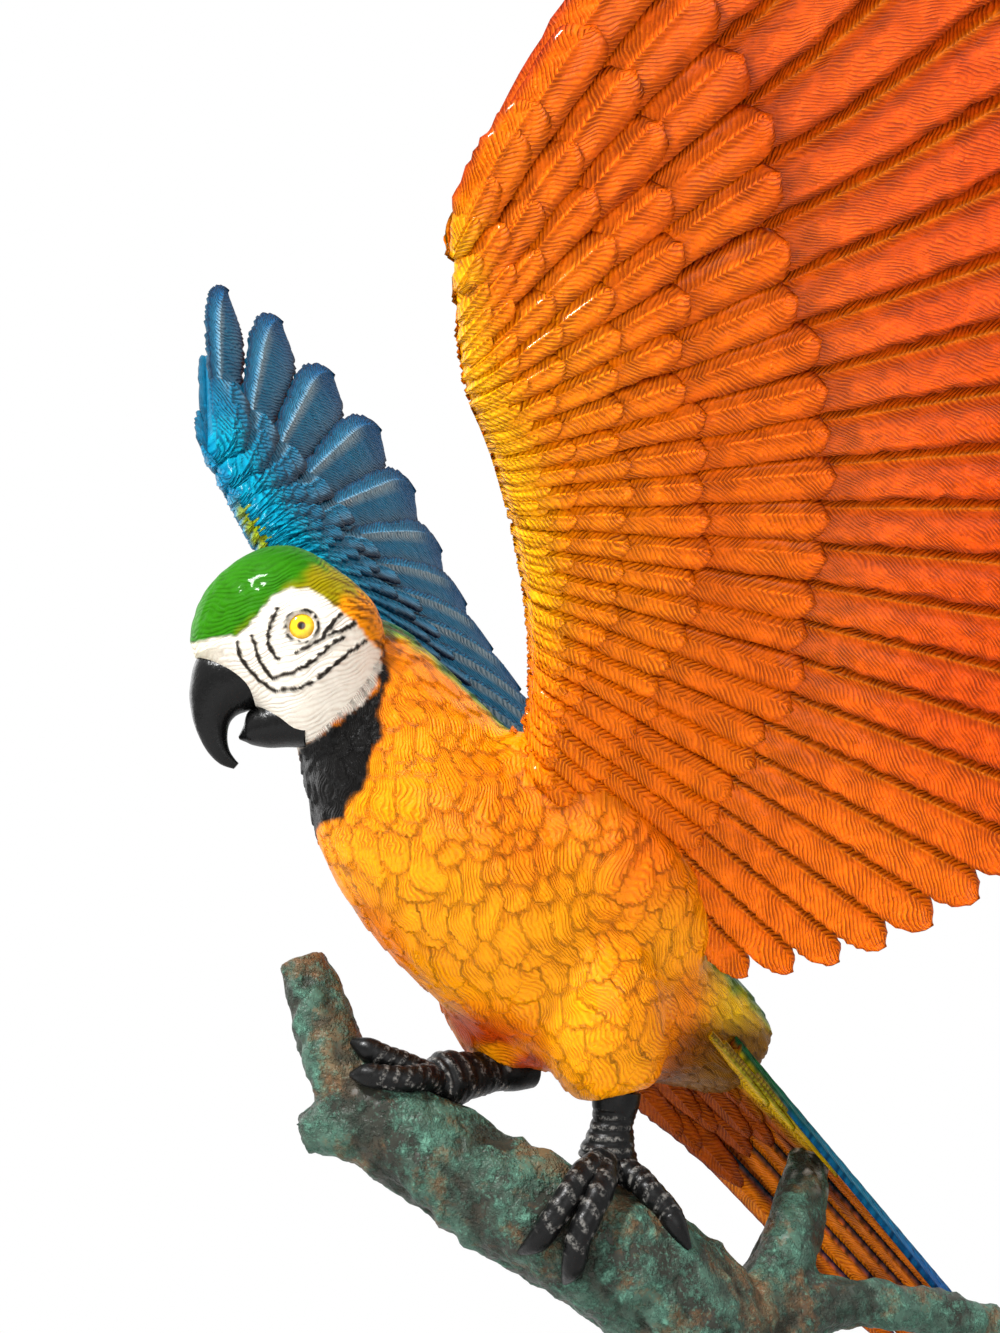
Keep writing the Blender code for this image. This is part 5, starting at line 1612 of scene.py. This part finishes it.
@dataclass
class Foot:
    """Scaly leg and four toes with claws that grip the branch."""

    side: Side
    branch: Branch
    perch: float
    toes: tuple
    leg_radius: float = 0.0078
    toe_radius: float = 0.0052
    claw_radius: float = 0.0034
    ankle_radius: float = 0.0095

    def on_limb(self, share: float, turn: float, height: float) -> Array:
        """Return a point over the limb's surface."""
        line = curve(np.array(self.branch.limb), 200)
        index = min(max(int(share * 199), 1), 198)
        along = line[index + 1, :3] - line[index - 1, :3]
        along /= np.linalg.norm(along)
        upward = np.array([0.0, 0.0, 1.0]) - along * along[2]
        upward /= np.linalg.norm(upward)
        sideways = np.cross(along, upward)
        out = upward * math.cos(turn) + sideways * math.sin(turn)
        return line[index, :3] + out * (line[index, 3] + height)

    def build(self, body: Body, material: bpy.types.Material) -> None:
        """Build leg and toes as scaly tubes."""
        skin = Skinmesh()
        ankle = self.on_limb(self.perch, 0.0, self.ankle_radius * 0.7)
        mirror = np.array([self.side.value, 1, 1])
        hem = body.thigh_hem * mirror + (body.far_shift if self.side is Side.RIGHT else 0)

        def scutes(share: Array, turn: Array) -> Array:
            rings = np.abs(np.sin(share * 34 + 0.6 * np.cos(2 * turn))) ** 0.6 - 0.7
            beads = 0.5 * np.sin(5 * turn + 34 * share) * np.sin(68 * share)
            upper = smooth(np.cos(turn), -0.3, 0.5)
            return 0.10 * (rings * upper + beads * (1 - upper)) * (1 - smooth(share, 0.72, 0.80))

        way = hem - ankle
        leg = [(*(ankle + way * share), radius) for share, radius in
               ((-0.22, 0.0020), (-0.17, 0.0065), (0.0, self.ankle_radius), (0.3, 0.0078), (0.6, 0.0068),
                (0.85, self.leg_radius), (1.06, self.leg_radius))]
        add_tube(skin, np.array(leg), 60, 28, scutes)
        last = 6
        for turn, shift in self.toes:
            knots = []
            for step in range(last + 1):
                share = step / last
                radius = self.toe_radius + (self.claw_radius - self.toe_radius) * share
                radius = self.claw_radius * 0.3 if step == last else radius
                height = radius * (0.9 - 0.7 * share) + 0.0020 * math.sin(share * math.pi)
                along = self.perch + shift * (share + 0.02)
                spot = self.on_limb(along, math.radians(turn) * (share + 0.03), height)
                knots.append((*spot, radius))
            add_tube(skin, np.array(knots), 70, 24, scutes)
        name = self.side.name.lower()
        report(skin.build(f"{name}_scaly_foot", [material]), f"{name}_foot")


class Studio:
    """Floor, light and camera."""

    eye = Vector((0.5540, -0.3522, 0.1599)) + Vector(ORIGIN_SHIFT)
    target = Vector((0.0116, 0.0, 0.3700)) + Vector(ORIGIN_SHIFT)
    lens = 54.0

    def build(self) -> None:
        """Set up everything round the object."""
        scene = bpy.context.scene
        camera = bpy.data.objects.new("camera", bpy.data.cameras.new("camera"))
        camera.data.lens = self.lens
        camera.location = self.eye
        camera.rotation_euler = (self.target - self.eye).to_track_quat("-Z", "Y").to_euler()
        scene.collection.objects.link(camera)
        scene.camera = camera
        self._lamp("key", Vector((0.35, -1.50, 1.60)), 0.25, 68.0)
        self._lamp("fill", Vector((1.5, -0.6, 0.1)), 1.2, 12.0)
        self._lamp("far_side", Vector((-1.5, -0.7, 0.9)), 1.0, 9.0)
        self._lamp("top", Vector((0.2, 0.9, 1.9)), 1.2, 6.0)
        self._floor()
        self._world()
        scene.view_settings.view_transform = "Standard"

    def _lamp(self, name: str, place: Vector, size: float, power: float) -> None:
        """Add a square lamp that faces the object."""
        lamp = bpy.data.lights.new(name, "AREA")
        lamp.size = size
        lamp.energy = power
        item = bpy.data.objects.new(name, lamp)
        item.location = place
        item.rotation_euler = (self.target - place).to_track_quat("-Z", "Y").to_euler()
        bpy.context.scene.collection.objects.link(item)

    def _floor(self) -> None:
        """Add a wide pale floor."""
        size = 6.0
        below_foot = -0.0005
        corners = [(-size, -size), (size, -size), (size, size), (-size, size)]
        mesh = bpy.data.meshes.new("floor")
        mesh.from_pydata([(x, y, below_foot) for x, y in corners], [], [(0, 1, 2, 3)])
        floor = bpy.data.objects.new("floor", mesh)
        bpy.context.scene.collection.objects.link(floor)
        material = bpy.data.materials.new("pale_floor")
        material.use_nodes = True
        material.node_tree.nodes["Principled BSDF"].inputs["Base Color"].default_value = (0.75, 0.75, 0.75, 1)
        mesh.materials.append(material)

    def _world(self) -> None:
        """White for the eye and reflections, a soft grey for light."""
        world = bpy.data.worlds.new("studio")
        world.use_nodes = True
        tree = world.node_tree
        tree.nodes.clear()
        path = tree.nodes.new("ShaderNodeLightPath")
        seen = path.outputs["Is Camera Ray"]
        for ray in ("Is Glossy Ray", "Is Transmission Ray"):
            seen = calc(tree, "MAXIMUM", seen, path.outputs[ray])
        strength = calc(tree, "MULTIPLY_ADD", seen, 0.68, 0.32)
        back = tree.nodes.new("ShaderNodeBackground")
        back.inputs["Color"].default_value = (1, 1, 1, 1)
        tree.links.new(strength, back.inputs["Strength"])
        out = tree.nodes.new("ShaderNodeOutputWorld")
        tree.links.new(back.outputs[0], out.inputs["Surface"])
        bpy.context.scene.world = world


def main() -> None:
    """Build every piece in order."""
    logging.basicConfig(level=logging.INFO, format="%(name)s: %(message)s")
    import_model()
    Studio().build()
    golden = CarvedPaint("golden_feathers", (0.30, 0.085, 0.10), (1.05, 1.50, 1.6), barb_height=0.0009,
                         barb_shade=0.56, highlight_strength=0.75, specular=0.04).make()
    blue = CarvedPaint("blue_feathers", (0.18, 0.30, 0.38), (2.6, 1.7, 1.4), barb_pitch=0.0050,
                       barb_slant=1.6, barb_height=0.0010, highlight_strength=0.8, barb_shade=0.95,
                       roughness=0.5, specular=0.02, coat=0.02).make()
    breast = CarvedPaint("breast_feathers", (0.62, 0.28, 0.25), (1.03, 1.30, 1.3), barb_pitch=0.0014,
                         barb_slant=0.12, barb_height=0.00050, barb_shade=0.55,
                         highlight_strength=0.55).make()
    black = BlackPaint("black_gloss").make()
    foot_paint = BlackPaint("foot_paint", brushed=0.75, roughness=0.3).make()
    branch = Branch()
    branch.build(Verdigris().make())
    left = Wing(Side.LEFT, np.array([0.520, 0.854, 0.016]), np.array([0.413, -0.268, 0.871]))
    right = Wing(Side.RIGHT, np.array([-0.476, 0.880, 0.0]), np.array([-0.457, -0.247, 0.854]),
                 crowding=0.42, hand_bulge=0.0)
    body = Body(wings=(left, right))
    head = Head()
    body.build(breast, head)
    face = CarvedPaint("face_paint", (0.55, 0.42, 0.34), (1.05, 1.15, 1.1), barb_pitch=0.0016, barb_slant=0.1,
                       barb_height=0.00026, barb_shade=0.45, highlight_strength=0.3, coat=0.06,
                       roughness=0.5, specular=0.03).make()
    eye_gloss = CarvedPaint("eye_gloss", (0.1, 0.1, 0.1), (1.0, 1.0, 1.0), groove_strength=0.0,
                            highlight_strength=0.0, barb_height=0.00001, barb_shade=0.0,
                            roughness=0.14, coat=1.0, coat_roughness=0.03).make()
    head.build(face, black, eye_gloss)
    Tail().build(golden, blue)
    left.build(golden, blue)
    right.build(golden, blue)
    for side, perch, toes in ((Side.LEFT, 0.455, ((128, -0.038), (135, 0.010), (62, 0.078), (-95, 0.010))),
                              (Side.RIGHT, 0.278, ((45, -0.110), (80, -0.080), (-60, -0.080), (-95, 0.030)))):
        Foot(side, branch, perch, toes).build(body, foot_paint)


if __name__ == "__main__":
    main()
